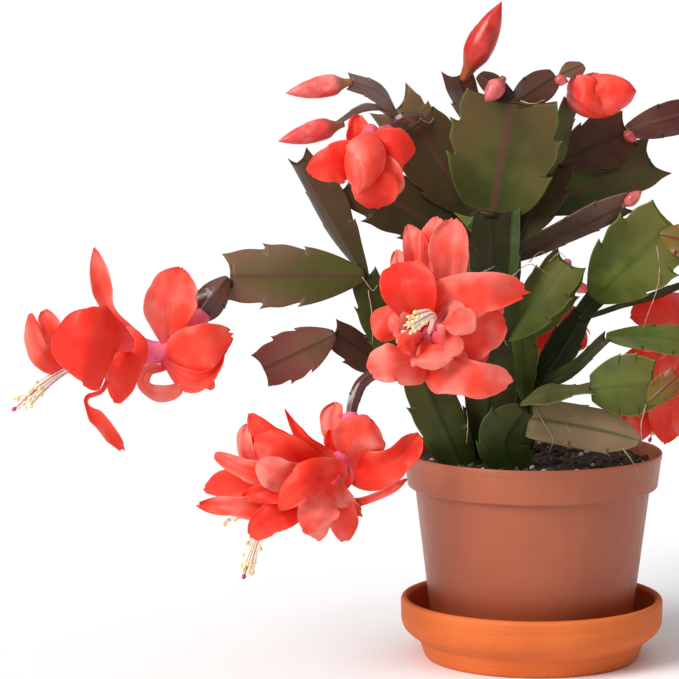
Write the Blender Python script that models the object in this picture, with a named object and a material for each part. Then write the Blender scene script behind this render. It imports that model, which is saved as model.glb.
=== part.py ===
"""Potted Christmas cactus (Schlumbergera truncata) in a plastic nursery pot on a terracotta saucer.

Units are metres, +Z is up. The origin is the middle of the saucer's flat underside.
Growth points are given in millimetres and scaled by MM.
"""

import math

import bmesh
import bpy
from mathutils import Matrix, Vector

MM = 0.001
GAP = 0.3 * MM
SIDES = 36
UP = Vector((0, 0, 1))

# Saucer
SAUCER_HEIGHT = 24.8 * MM
SAUCER_RIM_RADIUS = 53.1 * MM
SAUCER_FOOT_RADIUS = 45.2 * MM
SAUCER_BASE_RADIUS = 42.8 * MM
SAUCER_WALL = 3.2 * MM
SAUCER_FLOOR = 6.2 * MM
SAUCER_EDGE = 0.9 * MM
SAUCER_BAND_BOTTOM = 15 * MM

# Pot
POT_FOOT = SAUCER_FLOOR + GAP
POT_TOP = 84.5 * MM
POT_RIM_RADIUS = 52.3 * MM
POT_BAND_BOTTOM = 70.2 * MM
POT_BAND_RADIUS = 50.3 * MM
POT_SHOULDER_RADIUS = 47.5 * MM
POT_BASE_RADIUS = 39.6 * MM
POT_WALL = 1.3 * MM
POT_EDGE = 0.5 * MM
HOLE_RADIUS = 4 * MM
HOLE_RING = 22 * MM
HOLE_COUNT = 6
HOLE_SIDES = 12

# Soil
SOIL_EDGE_TOP = 79.8 * MM
SOIL_CROWN = 82.6 * MM
POCKET_SCALE = 1.3

# Stem segments
LEAF_THICKNESS = 2.3 * MM
STEM_THICKNESS = 5.2 * MM
LEAF_NECK = 0.17
STEM_NECK = 0.46
WIDEST_AT = 0.6
TIP_WIDTH = 0.74
JOINT_WIDTH = 0.13
FIRST_TOOTH = 0.36
TOOTH_HOOK = 0.035
TOOTH_STAGGER = 0.07
YOUNG = {"teeth": 1, "bite": 0.05, "horn": -0.02}

# Flowers
PETAL_THICKNESS = 1.1 * MM
PETAL_CUP = 1.5 * MM
PETAL_STRAIGHTNESS = 0.35
TUBE_SIDES = 8
PETAL_ROWS = ((0.0, 0.4), (0.24, 0.76), (0.5, 1.0), (0.76, 0.96), (0.92, 0.66), (1.0, 0.2))

OLIVE = (0.085, 0.095, 0.022)
GREEN = (0.09, 0.14, 0.035)
DARK = (0.02, 0.03, 0.012)
BROWN = (0.1, 0.045, 0.035)
MAUVE = (0.13, 0.05, 0.05)
YELLOW_GREEN = (0.2, 0.17, 0.03)
RED = (0.85, 0.07, 0.045)
PINK = (0.85, 0.16, 0.2)
POT_BROWN = (0.42, 0.135, 0.075)
TERRACOTTA = (0.72, 0.19, 0.065)
SOIL_BROWN = (0.022, 0.014, 0.01)


def clear_scene():
    for item in list(bpy.data.objects):
        bpy.data.objects.remove(item, do_unlink=True)


def material(name, colour, roughness):
    made = bpy.data.materials.new(name)
    made.use_nodes = True
    shader = made.node_tree.nodes["Principled BSDF"]
    shader.inputs["Base Color"].default_value = (*colour, 1)
    shader.inputs["Roughness"].default_value = roughness
    shader.inputs["Metallic"].default_value = 0
    made.diffuse_color = (*colour, 1)
    return made


def add_object(name, mesh, colour=None, roughness=0.5):
    made = bpy.data.objects.new(name, mesh)
    bpy.context.scene.collection.objects.link(made)
    if colour:
        mesh.materials.append(material(name, colour, roughness))
        mesh.shade_smooth()
        mesh.set_sharp_from_angle(angle=math.radians(40))
    return made


def cutter(name, mesh):
    made = add_object(name, mesh)
    made.hide_render = True
    made.display_type = "WIRE"
    return made


def combine(item, other, operation):
    step = item.modifiers.new(operation.title(), "BOOLEAN")
    step.object = other
    step.operation = operation
    step.solver = "EXACT"


def millimetres(point):
    return Vector(point) * MM


def along(points, share):
    """A point of the smooth curve through the given points, at a share of the way from first to last."""
    spans = len(points) - 1
    place = min(max(share, 0.0), 1.0) * spans
    index = min(int(place), spans - 1)
    t = place - index
    start, end = points[index], points[index + 1]
    before = points[index - 1] if index else start * 2 - end
    after = points[index + 2] if index + 2 <= spans else end * 2 - start
    straight = share - min(max(share, 0.0), 1.0)
    smooth = (
        start * 2
        + (end - before) * t
        + (before * 2 - start * 5 + end * 4 - after) * t * t
        + (start * 3 - before - end * 3 + after) * t**3
    ) / 2
    return smooth + (points[-1] - points[-2]) * straight * spans


def frame_at(points, share, across):
    """The curve's point there, the direction across it and the direction out of its flat side."""
    step = 0.02
    tangent = (along(points, share + step) - along(points, share - step)).normalized()
    side = (across - tangent * across.dot(tangent)).normalized()
    return along(points, share), side, side.cross(tangent)


def loft(rings):
    """One closed skin over rings of equal count, with a flat cap at both ends."""
    bm = bmesh.new()
    loops = [[bm.verts.new(point) for point in ring] for ring in rings]
    count = len(loops[0])
    for lower, upper in zip(loops, loops[1:]):
        for i in range(count):
            j = (i + 1) % count
            bm.faces.new((lower[i], lower[j], upper[j], upper[i]))
    bm.faces.new(reversed(loops[0]))
    bm.faces.new(loops[-1])
    bmesh.ops.recalc_face_normals(bm, faces=bm.faces)
    return bm


def finished(bm, name):
    bmesh.ops.triangulate(bm, faces=bm.faces)
    mesh = bpy.data.meshes.new(name)
    bm.to_mesh(mesh)
    bm.free()
    return mesh


# Saucer, pot and soil


def turned(name, profile, colour, roughness):
    """A turned solid. The profile runs from the axis over the top, down the outside and back to it."""
    mesh = bpy.data.meshes.new(name)
    points = [(radius, 0, height) for radius, height in profile]
    mesh.from_pydata(points, [(i, i + 1) for i in range(len(points) - 1)], [])
    made = add_object(name, mesh, colour, roughness)
    screw = made.modifiers.new("Turn", "SCREW")
    screw.steps = SIDES
    screw.render_steps = SIDES
    screw.use_merge_vertices = True
    screw.merge_threshold = 0.00001
    screw.use_smooth_shade = True
    return made


def make_saucer():
    inner = SAUCER_RIM_RADIUS - SAUCER_WALL
    profile = (
        (0, SAUCER_FLOOR),
        (SAUCER_FOOT_RADIUS - SAUCER_WALL, SAUCER_FLOOR),
        (inner - 2.4 * MM, SAUCER_FLOOR + 2 * MM),
        (inner - 0.5 * MM, SAUCER_BAND_BOTTOM),
        (inner, SAUCER_HEIGHT - SAUCER_EDGE),
        (inner + SAUCER_EDGE, SAUCER_HEIGHT),
        (SAUCER_RIM_RADIUS - SAUCER_EDGE, SAUCER_HEIGHT),
        (SAUCER_RIM_RADIUS, SAUCER_HEIGHT - SAUCER_EDGE),
        (SAUCER_RIM_RADIUS - 0.2 * MM, SAUCER_BAND_BOTTOM),
        (51.7 * MM, 12 * MM),
        (48.6 * MM, 9.3 * MM),
        (SAUCER_FOOT_RADIUS + 0.4 * MM, 7.8 * MM),
        (SAUCER_FOOT_RADIUS, 6 * MM),
        (SAUCER_BASE_RADIUS + 0.6 * MM, 0.9 * MM),
        (SAUCER_BASE_RADIUS - 0.4 * MM, 0),
        (0, 0),
    )
    return turned("saucer", profile, TERRACOTTA, 0.75)


def pot_outside(height):
    """Radius of the tapered wall's outside below the rim band."""
    share = (height - POT_FOOT) / (POT_BAND_BOTTOM - POT_FOOT)
    return POT_BASE_RADIUS + (POT_SHOULDER_RADIUS - POT_BASE_RADIUS) * share


def make_pot():
    rim_inner = POT_RIM_RADIUS - POT_WALL
    floor_top = POT_FOOT + POT_WALL
    profile = (
        (0, floor_top),
        (POT_BASE_RADIUS - POT_WALL, floor_top),
        (pot_outside(POT_BAND_BOTTOM) - POT_WALL, POT_BAND_BOTTOM + POT_WALL),
        (POT_BAND_RADIUS - POT_WALL, POT_BAND_BOTTOM + POT_WALL * 2),
        (rim_inner, POT_TOP - POT_EDGE),
        (rim_inner + POT_EDGE, POT_TOP),
        (POT_RIM_RADIUS - POT_EDGE, POT_TOP),
        (POT_RIM_RADIUS, POT_TOP - POT_EDGE),
        (POT_BAND_RADIUS + 0.15 * MM, POT_BAND_BOTTOM + POT_EDGE),
        (POT_BAND_RADIUS - 0.4 * MM, POT_BAND_BOTTOM),
        (POT_SHOULDER_RADIUS, POT_BAND_BOTTOM),
        (POT_BASE_RADIUS + 0.2 * MM, POT_FOOT + 1.5 * MM),
        (POT_BASE_RADIUS - 1 * MM, POT_FOOT),
        (0, POT_FOOT),
    )
    pot = turned("pot", profile, POT_BROWN, 0.38)
    holes = bmesh.new()
    for i in range(HOLE_COUNT):
        turn = Matrix.Rotation(math.tau * i / HOLE_COUNT, 4, "Z")
        place = turn @ Matrix.Translation((HOLE_RING, 0, POT_FOOT))
        bmesh.ops.create_cone(
            holes,
            cap_ends=True,
            segments=HOLE_SIDES,
            radius1=HOLE_RADIUS,
            radius2=HOLE_RADIUS,
            depth=POT_WALL * 6,
            matrix=place,
        )
    combine(pot, cutter("pot_hole_cutter", finished(holes, "pot_hole_cutter")), "DIFFERENCE")


def make_soil(feet):
    inner_floor = POT_FOOT + POT_WALL + GAP
    side_gap = POT_WALL + GAP
    edge_radius = POT_BAND_RADIUS - side_gap
    profile = (
        (0, SOIL_CROWN),
        (18 * MM, SOIL_CROWN - 0.4 * MM),
        (34 * MM, SOIL_CROWN - 1.6 * MM),
        (edge_radius, SOIL_EDGE_TOP),
        (edge_radius, POT_BAND_BOTTOM + POT_WALL * 2 + GAP * 2),
        (POT_SHOULDER_RADIUS - side_gap, POT_BAND_BOTTOM + POT_WALL),
        (POT_BASE_RADIUS - side_gap, inner_floor),
        (0, inner_floor),
    )
    soil = turned("soil", profile, SOIL_BROWN, 0.95)
    for number, foot in enumerate(feet):
        name = f"soil_pocket_cutter_{number}"
        combine(soil, cutter(name, finished(loft(foot), name)), "DIFFERENCE")


# Stem segments


def half_width(share, neck):
    """A segment's smooth half width, as a share of the greatest, from its neck to its cut-off tip."""
    if share < WIDEST_AT:
        return neck + (1 - neck) * math.sin(math.pi / 2 * share / WIDEST_AT) ** 0.85
    return 1 - (1 - TIP_WIDTH) * ((share - WIDEST_AT) / (1 - WIDEST_AT)) ** 2


def toothed_edge(neck, teeth, bite, horn, shift):
    """One edge as (share along, share across): each tooth hooks forward and drops back into its notch."""
    edge = [(share, half_width(share, neck)) for share in (0, 0.1, 0.22)]
    first = FIRST_TOOTH + shift
    spacing = (1 - first) / teeth
    for i in range(teeth):
        share = first + spacing * i
        reach = half_width(share, neck)
        middle = share + spacing * 0.55
        edge.append((share + TOOTH_HOOK, reach * 1.03))
        edge.append((share + TOOTH_HOOK + 0.005, reach * (1 - bite)))
        edge.append((middle, half_width(middle, neck) * (1 - bite * 0.2)))
    edge.append((1 + horn, TIP_WIDTH * 0.9))
    edge.append((1, JOINT_WIDTH + neck * 0.25))
    return edge


def segment(
    name,
    path,
    width,
    facing,
    colour=OLIVE,
    sag=0.0,
    cup=0.0,
    teeth=2,
    bite=0.16,
    horn=0.05,
    lobes=1,
    neck=LEAF_NECK,
    thickness=LEAF_THICKNESS,
):
    """One flat stem segment, or a row of grown-together ones (lobes), along a path of points in mm."""
    points = [millimetres(point) for point in path]
    across_path = (points[-1] - points[0]).cross(Vector(facing))
    if sag:
        middle, _, normal = frame_at([points[0], points[-1]], 0.5, across_path)
        points = [points[0], middle + normal * sag * MM, points[-1]]
    points[0] = points[0] + (points[1] - points[0]).normalized() * GAP
    left = toothed_edge(neck, teeth, bite, horn, 0.0)
    right = toothed_edge(neck, teeth, bite, horn, TOOTH_STAGGER)
    rings = []
    for lobe in range(lobes):
        first_row = 1 if lobe else 0
        rows = list(zip(left, right))[first_row:]
        for (left_along, left_across), (right_along, right_across) in rows:
            middle_along = min((left_along + right_along) / 2, 1)
            centre, _, normal = frame_at(points, (lobe + middle_along) / lobes, across_path)
            edges = []
            for edge_along, across in ((left_along, left_across), (right_along, -right_across)):
                place, side, lift = frame_at(points, (lobe + edge_along) / lobes, across_path)
                edges.append(place + side * across * width * MM / 2 + lift * cup * MM * across**2)
            swell = 0.72 + 0.28 * math.sin(math.pi * middle_along)
            half = normal * thickness * swell / 2
            rings.append((edges[0], centre + half, edges[1], centre - half))
    made = add_object(name, finished(loft(rings), name), colour, 0.42)
    return made, rings


def pocket_rings(rings):
    """The hollow that a planted stem's foot stands in: the foot itself, a little larger all round."""
    grown = []
    for ring in rings[:4]:
        centre = sum(ring, Vector()) / len(ring)
        grown.append([centre + (point - centre) * POCKET_SCALE for point in ring])
    grown[0] = [point - UP * GAP * 2 for point in grown[0]]
    return grown


def make_stems():
    """The old stems that rise from the soil. Returns the pockets for their feet."""
    old = {"neck": STEM_NECK, "thickness": STEM_THICKNESS, "bite": 0.1, "horn": 0.02}
    stems = (
        segment(
            "stem_centre",
            ((-20, -6, 77), (-18, -7, 103), (-17, -8, 129), (-16, -10, 155), (-17, -12, 181)),
            21, (-0.2, -1, 0), DARK, lobes=2, **old,
        ),
        segment(
            "stem_diagonal",
            ((-7, 5, 77), (-3, 6, 94), (3, 8, 110), (11, 10, 123), (19, 12, 136)),
            13.5, (0, -1, 0), DARK, lobes=2, **old,
        ),
        segment("stem_front", ((-5, -23, 77), (-8, -28, 108)), 20, (0, -1, 0), GREEN, **old),
        segment("stem_left", ((-28, -16, 77), (-46, -20, 118)), 20, (0.1, -1, 0), GREEN, **old),
        segment("stem_back", ((-10, 18, 77), (-4, 26, 126)), 15, (0, -1, 0.1), DARK, **old),
    )
    return [pocket_rings(rings) for _, rings in stems]


def make_right_branches():
    segment("stem_right", ((19, 12, 137), (31, 18, 149), (44, 24, 156), (57, 30, 160), (70, 36, 162)),
            7, (0.2, -0.6, 0.9), DARK, lobes=2, neck=0.5, thickness=2.6 * MM)
    segment("stem_right_thin", ((19.7, 13.8, 136), (45, 30, 142), (68, 42, 148)),
            9, (0, 0.6, 0.9), DARK)
    segment("leaf_right", ((25.3, 13.7, 145.1), (49, -4, 172)),
            26, (0.1, -1, 0.2), GREEN, sag=2, cup=2)
    segment("leaf_right_young", ((50.6, -5.4, 172), (69, -10, 168)),
            15, (0, -1, 0.2), YELLOW_GREEN, cup=1, **YOUNG)
    segment("leaf_folded", ((-10.6, -8.6, 131.2), (13, -4, 161)),
            21, (-0.2, -0.8, 0.5), GREEN, cup=-2)
    segment("leaf_inner", ((-3.3, 4.9, 104.2), (-4, 2, 136)), 15, (-0.3, -0.9, 0), GREEN)
    segment("stem_low_right", ((4, 5.9, 109.8), (16, -6, 119), (28, -10, 131)),
            8, (0.2, -0.6, 0.6), DARK)
    segment("leaf_low_right", ((29.3, -10, 132), (66, -14, 129)), 14, (0, -0.8, 0.6), GREEN, sag=2)
    segment("leaf_wrinkled", ((-3.8, -29.4, 109.6), (21, -34, 114)),
            14, (0, -0.35, 1), GREEN, sag=2)
    segment("leaf_low_facing", ((21.4, -34.9, 114.6), (45, -38, 117)),
            24, (0, -1, 0.1), GREEN, cup=-2)
    segment("leaf_low_young", ((43, -40, 110), (54, -40, 120)), 11, (0, -1, 0.2), YELLOW_GREEN)
    segment("leaf_drooping", ((0, -29, 107.5), (20, -30, 102), (41, -31, 93)),
            18, (0, -0.9, 0.5), MAUVE)


def make_crown():
    segment("leaf_top", ((-17, -12.1, 182.4), (-9, -20, 226)), 45, (-0.12, -1, 0.1), OLIVE, cup=2)
    segment("leaf_behind_top", ((-7.2, -12.2, 170.8), (9, 2, 200)), 20, (-0.3, -0.9, 0.3), DARK)
    leaf, _ = segment("leaf_dark_brown", ((10.5, 2.4, 200.8), (38, 20, 212)),
                      23, (0, -1, 0.1), BROWN, cup=2)
    grow_bud(leaf, (37.5, 19, 211.5), (42, 15, 208), 4.5)
    segment("leaf_mauve_right", ((39, 19.6, 212.2), (69, 24, 220)),
            15, (0, -1, 0.3), MAUVE, cup=1, **YOUNG)
    segment("leaf_long", ((1.7, -4.3, 182.3), (48, 24, 200)),
            25, (0.1, -1, 0.3), OLIVE, sag=2, cup=2)
    leaf, _ = segment("leaf_pink_edge", ((-6, -11.2, 160.8), (36, 1, 184)),
                      17, (0.2, -0.5, -0.85), BROWN)
    grow_bud(leaf, (35.5, 0.8, 183.5), (43, -1, 189.5), 5.6)
    segment("leaf_edge_on", ((8.7, 1.2, 200.6), (14, -4, 225)), 12, (1, -0.3, 0.1), OLIVE)
    leaf, _ = segment("crest_brown", ((-7, -19.9, 227.6), (7, -18, 235)),
                      13, (0, -1, 0.4), BROWN, **YOUNG)
    grow_bud(leaf, (6.5, -18, 234.8), (12, -19, 234), 4.6)
    segment("crest_green", ((-11, -19.6, 228.7), (-22, -14, 236)), 8, (0, -1, 0.6), OLIVE, **YOUNG)
    segment("crest_grey", ((9.4, -16.8, 236.6), (18, -12, 240)), 8, (0, -1, 0.6), MAUVE, **YOUNG)
    segment("segment_flower_centre", ((-19.6, -9.8, 137.2), (-26, -26, 143), (-32, -40, 144)),
            11, (0, -0.3, 1), GREEN)
    segment("segment_top_dark", ((-25, -16.5, 220.7), (-29, -6, 235)), 14, (0, -1, 0), BROWN)


def make_left_branches():
    segment("leaf_left_green", ((-45.7, -19.1, 118.4), (-60, -16, 134), (-68, -18, 157)),
            15, (0.2, -1, 0), GREEN)
    segment("leaf_left_dark", ((-47.3, -18.1, 118.1), (-64, -12, 123), (-80, -17, 134)),
            15, (0, -1, 0.2), BROWN)
    segment("leaf_horizontal", ((-69.6, -20.4, 157.6), (-121, -28, 158)),
            25, (0, -1, 0.15), OLIVE, sag=2, cup=-2)
    segment("leaf_diagonal", ((-67.8, -17.1, 157.8), (-94, -10, 202)),
            20, (-0.8, -0.6, 0), DARK, cup=-3)
    segment("leaf_mauve", ((-80.6, -19, 133.6), (-108, -26, 121)), 20, (0, -1, 0.1), MAUVE, cup=1)
    segment("stem_arching", ((-47.6, -22.3, 118), (-58, -25, 118), (-67, -29, 115), (-73, -31, 105)),
            9, (0, -0.2, 1), MAUVE)
    segment("segment_maroon", ((-122.3, -29.1, 156.9), (-131, -33, 144)),
            11, (0, -1, 0.2), MAUVE, **YOUNG)
    segment("leaf_upper_left", ((-26.1, -9.2, 170), (-74, -14, 195)),
            24, (0, -1, 0.3), OLIVE, cup=-2)
    segment("leaf_olive_left", ((-24, -10.6, 182), (-48, -4, 216)), 29, (0, -1, 0), OLIVE, cup=2)
    segment("leaf_spiked", ((-41.6, -4.1, 204), (-52, 8, 226)), 21, (0, -1, 0), OLIVE)
    segment("segment_bud_upper", ((-49.5, -4.8, 216), (-60, -14, 226), (-74, -24, 233)),
            11, (-0.3, -0.6, 0.8), MAUVE, **YOUNG)
    segment("segment_bud_lower", ((-53.6, -4.4, 215.2), (-66, -11, 220), (-77, -20, 217)),
            8, (0, -0.3, 1), MAUVE, **YOUNG)


def make_back_branches():
    segment("leaf_back_right", ((-2, 27.2, 127), (16, 42, 156)), 22, (0.4, -0.8, 0.4), GREEN, cup=2)
    segment("leaf_back_left", ((-5, 27.5, 127), (-30, 52, 163)),
            25, (-0.6, -0.8, 0.4), OLIVE, cup=2)
    segment("leaf_back_outer", ((-27.6, 53.2, 165), (-6, 66, 194)),
            24, (0.3, -0.7, 0.8), GREEN, sag=3)
    segment("leaf_back_low", ((-9.5, 27.4, 125.7), (-27, 34, 122), (-44, 46, 112)),
            22, (0, -0.4, 1), OLIVE, sag=5, cup=-2)
    segment("leaf_back_top", ((-30.7, 53, 162.9), (-48, 84, 186)),
            27, (-0.4, -0.6, 0.8), OLIVE, sag=3)


# Flowers and buds


def keep_outer_skin(item):
    """Applies the item's modifiers and fills any pocket of air that they sealed inside it."""
    graph = bpy.context.evaluated_depsgraph_get()
    mesh = bpy.data.meshes.new_from_object(item.evaluated_get(graph))
    item.modifiers.clear()
    item.data = mesh
    bm = bmesh.new()
    bm.from_mesh(mesh)
    waiting = set(bm.verts)
    skins = []
    while waiting:
        skin = {waiting.pop()}
        edge = list(skin)
        while edge:
            found = {link.other_vert(vert) for vert in edge for link in vert.link_edges} - skin
            skin |= found
            edge = list(found)
        waiting -= skin
        skins.append(skin)
    skins.sort(key=len)
    for inner in skins[:-1]:
        bmesh.ops.delete(bm, geom=list(inner), context="VERTS")
    bm.to_mesh(mesh)
    bm.free()


def petal_mesh(name, points, width, across_path, cup):
    rings = []
    for share, across in PETAL_ROWS:
        centre, side, normal = frame_at(points, share, across_path)
        reach = side * across * width / 2
        lift = normal * cup * across**2
        half = normal * PETAL_THICKNESS / 2
        rings.append((centre + reach + lift, centre + half, centre - reach + lift, centre - half))
    return finished(loft(rings), name)


def round_rings(points, radii, across_path):
    rings = []
    for share, radius in radii:
        centre, side, normal = frame_at(points, share, across_path)
        ring = []
        for i in range(TUBE_SIDES):
            angle = math.tau * i / TUBE_SIDES
            ring.append(centre + (side * math.cos(angle) + normal * math.sin(angle)) * radius)
        rings.append(ring)
    return rings


def flower(name, base, throat, stamen_tip, petals, radius=3.6):
    """A flower grown as one: a tube, two tiers of petals, and the bundle of stamens with the style.

    Each petal is its start along the tube as a share, its tip in mm, its width in mm and, where it
    is twisted, the angle.
    """
    start = millimetres(base)
    mouth = millimetres(throat)
    axis = (mouth - start).normalized()
    start = start + axis * GAP
    across = axis.orthogonal()
    tube = ((0, 0.45), (0.12, 0.75), (0.4, 0.7), (0.8, 1), (1, 0.8))
    radii = [(share, scale * radius * MM) for share, scale in tube]
    made = add_object(name, finished(loft(round_rings([start, mouth], radii, across)), name), RED, 0.4)
    for index, (rise, tip, width, *roll) in enumerate(petals):
        end = millimetres(tip)
        on_axis = start.lerp(mouth, rise)
        radial = end - on_axis
        radial = (radial - axis * radial.dot(axis)).normalized()
        root = on_axis + radial * radius * MM * 0.4
        reach = (end - root).length
        bend = root + (axis * 0.55 + radial * 0.45) * reach * 0.5
        bend = bend.lerp((root + end) / 2, PETAL_STRAIGHTNESS)
        turn = Matrix.Rotation(math.radians(sum(roll)), 3, end - root)
        petal = f"{name}_petal_{index}"
        mesh = petal_mesh(petal, [root, bend, end], width * MM, turn @ axis.cross(radial), PETAL_CUP)
        combine(made, cutter(petal, mesh), "UNION")
    if stamen_tip:
        tip = millimetres(stamen_tip)
        bundle = ((0, 1.3), (0.5, 1.5), (0.8, 2.6), (0.9, 1.8), (1, 0.5))
        radii = [(share, scale * MM) for share, scale in bundle]
        stamens = f"{name}_stamens"
        mesh = finished(loft(round_rings([mouth - axis * MM, tip], radii, across)), stamens)
        combine(made, cutter(stamens, mesh), "UNION")
    keep_outer_skin(made)


def bud_mesh(name, base, tip, width):
    points = [millimetres(base), millimetres(tip)]
    axis = (points[1] - points[0]).normalized()
    points[0] = points[0] + axis * GAP
    outline = ((0, 0.26), (0.16, 0.52), (0.4, 0.96), (0.62, 0.94), (0.86, 0.5), (1, 0.08))
    radii = [(share, scale * width * MM / 2) for share, scale in outline]
    return finished(loft(round_rings(points, radii, axis.orthogonal())), name)


def bud(name, base, tip, width, colour=RED):
    add_object(name, bud_mesh(name, base, tip, width), colour, 0.35)


def grow_bud(leaf, base, tip, width):
    """A small bud grown together with the segment that it sits on."""
    name = leaf.name + "_bud"
    combine(leaf, cutter(name, bud_mesh(name, base, tip, width)), "UNION")


def make_flowers():
    flower("flower_left", (-131.5, -33.8, 143.7), (-164, -44, 131), (-204, -54, 109), (
        (0.2, (-139, -40, 163), 22, 60),
        (0.2, (-119, -44, 137), 15, -20),
        (0.25, (-130, -50, 115), 20, -50),
        (0.3, (-152, -44, 111), 16, -40),
        (0.2, (-149, -14, 149), 20),
        (0.85, (-173, -40, 171), 10, 60),
        (0.9, (-187, -72, 120), 30),
        (0.9, (-197, -56, 145), 17, -50),
        (0.85, (-190, -30, 147), 16, 40),
        (0.9, (-159, -62, 113), 20, -50),
        (0.9, (-162, -52, 93), 7, -40),
    ))
    flower("flower_low", (-73.8, -31.9, 103.2), (-89, -52, 81), (-115, -64, 45), (
        (0.2, (-83, -28, 109), 14, 40),
        (0.25, (-66, -54, 105), 25),
        (0.3, (-46, -38, 94), 20, -25),
        (0.35, (-51, -36, 76), 12, -50),
        (0.85, (-98, -52, 108), 19, 60),
        (0.9, (-116, -58, 105), 22, 50),
        (0.9, (-126, -66, 95), 20, 50),
        (0.95, (-131, -70, 75), 24, 50),
        (0.95, (-117, -66, 61), 14, 40),
        (0.9, (-97, -86, 71), 26),
        (0.9, (-76, -58, 59), 19, -50),
        (0.85, (-84, -14, 79), 20),
    ))
    flower("flower_centre", (-32.5, -40.8, 144), (-44, -70, 140), (-55, -98, 148), (
        (0.4, (-41, -70, 185), 22),
        (0.4, (-32, -62, 182), 18),
        (0.5, (-52, -62, 181), 12),
        (0.7, (-61, -84, 167), 27),
        (0.6, (-66, -80, 148), 17),
        (0.7, (-66, -86, 126), 22),
        (0.8, (-31, -86, 117), 20),
        (0.5, (-12, -74, 122), 22),
        (0.5, (-6, -66, 156), 28),
        (0.9, (-27, -94, 154), 19),
        (0.8, (-18, -86, 136), 26),
    ))
    flower("flower_upper", (-55.9, -5.4, 213.1), (-65, -34, 206), None, (
        (0.4, (-90, -50, 201), 19),
        (0.3, (-72, -34, 221), 14),
        (0.8, (-69, -60, 195), 18),
        (0.4, (-49, -40, 206), 18),
        (0.5, (-65, -48, 187), 20),
        (0.5, (-57, -40, 191), 15),
    ))
    flower("flower_right", (68.4, 44.4, 145.8), (61, 50, 119), (53, 60, 79), (
        (0.2, (42, 34, 134), 19, -40),
        (0.2, (90, 50, 127), 20),
        (0.3, (84, 76, 111), 20),
        (0.9, (45, 36, 115), 18, -30),
        (0.9, (36, 46, 88), 23, -40),
        (0.95, (57, 40, 81), 23),
        (0.95, (79, 62, 84), 23),
        (0.9, (72, 86, 92), 23),
    ))
    flower("flower_back", (16.4, 44, 156), (13, 58, 136), (12, 66, 97), (
        (0.3, (2, 50, 133), 18),
        (0.3, (22, 78, 140), 18),
        (0.9, (7, 52, 108), 18),
        (0.9, (24, 56, 118), 18),
        (0.9, (16, 88, 107), 20),
        (0.8, (28, 76, 124), 18),
    ))


def make_buds():
    bud("bud_top", (-28.1, -6.1, 237), (-14, -9, 265), 11.5)
    bud("bud_upper_left", (-74.2, -25.1, 234), (-99, -32, 230), 8.8)
    bud("bud_lower_left", (-77.2, -20.3, 217.2), (-102, -28, 211), 8.8)
    bud("bud_red_right", (14.8, -4.2, 225.9), (39, -14, 230), 17)
    bud("bud_pink_front", (-15, -20.5, 228), (-18, -32, 232), 8.4, PINK)


def main():
    clear_scene()
    make_saucer()
    make_pot()
    make_soil(make_stems())
    make_right_branches()
    make_crown()
    make_left_branches()
    make_back_branches()
    make_flowers()
    make_buds()


main()
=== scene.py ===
"""The looks of the potted Christmas cactus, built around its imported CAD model.

Units are metres, +Z is up. The origin is the middle of the saucer's flat underside.
Growth points are in millimetres and scaled by MM. Each piece stands for the CAD node of its name,
apart from the air roots, which only this script has.
"""

import math
import random

import bmesh
import bpy
from mathutils import Matrix, Vector, noise


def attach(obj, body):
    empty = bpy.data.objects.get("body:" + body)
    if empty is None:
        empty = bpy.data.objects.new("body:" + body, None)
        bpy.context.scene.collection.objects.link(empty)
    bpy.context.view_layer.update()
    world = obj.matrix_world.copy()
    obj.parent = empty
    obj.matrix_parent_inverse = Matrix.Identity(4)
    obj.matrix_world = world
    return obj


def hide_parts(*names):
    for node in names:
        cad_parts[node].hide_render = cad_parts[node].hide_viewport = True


MM = 0.001
JOINT_DEPTH = 0.9 * MM

# Camera and stage
CAMERA_PLACE = (-0.078, -1.33, 0.297)
CAMERA_PITCH = 7.18
CAMERA_LENS = 176.66
SENSOR_WIDTH = 36
FLOOR_REACH = 40
FLOOR_DROP = 0.0001
WORLD_LIGHT = 0.32

# Stem segments
LEAF_THICKNESS = 2.1 * MM
STEM_THICKNESS = 5.0 * MM
LEAF_NECK = 0.17
STEM_NECK = 0.46
WIDEST_AT = 0.6
TIP_WIDTH = 0.74
JOINT_WIDTH = 0.13
FOOT_ROWS = 14
SCALLOP_ROWS = 9
FIRST_TOOTH = 0.36
TOOTH_STAGGER = 0.07
LEAF_COLUMNS = (1, 0.97, 0.91, 0.82, 0.7, 0.56, 0.42, 0.28, 0.17, 0.1, 0.05, 0)
YOUNG = {"teeth": 1, "bite": 0.04, "horn": -0.03, "tip": 0.5}

# Flowers
PETAL_THICKNESS = 0.5 * MM
PETAL_COLUMNS = (1, 0.95, 0.86, 0.74, 0.6, 0.45, 0.3, 0.15, 0)
PETAL_ROWS = 30
PETAL_DOME = 0.1
PETAL_STRAIGHTNESS = 0.35
CLAW_REACH = 3 * MM
CLAW_WIDTH = 1.6
FILAMENT_STEPS = 10
STYLE_STEPS = 12
BUD_ROWS = 30
BUD_SIDES = 36
BUD_OUTLINE = (0.34, 0.4, 0.5, 0.74, 0.94, 1.0, 0.99, 0.93, 0.83, 0.69, 0.5, 0.26, 0.02)
PLUMP_OUTLINE = (0.3, 0.38, 0.6, 0.92, 1.0, 1.0, 0.97, 0.9, 0.8, 0.66, 0.48, 0.27, 0.02)
FULL_OUTLINE = (0.28, 0.6, 0.8, 0.92, 0.98, 1.0, 0.98, 0.93, 0.86, 0.76, 0.62, 0.42, 0.04)


# Pot and soil
HOLE_COUNT = 6
HOLE_RADIUS = 4 * MM
HOLE_RING = 22 * MM
HOLE_DEPTH = 8 * MM
POT_FOOT = 6.5 * MM
SOIL_RIM = 48.7 * MM
SOIL_REACH = 48.2 * MM
SOIL_ROWS = 40
SOIL_SIDES = 120
CRUMB_REACH = 47 * MM
CRUMB_COUNT = 520


# Shaders


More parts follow.
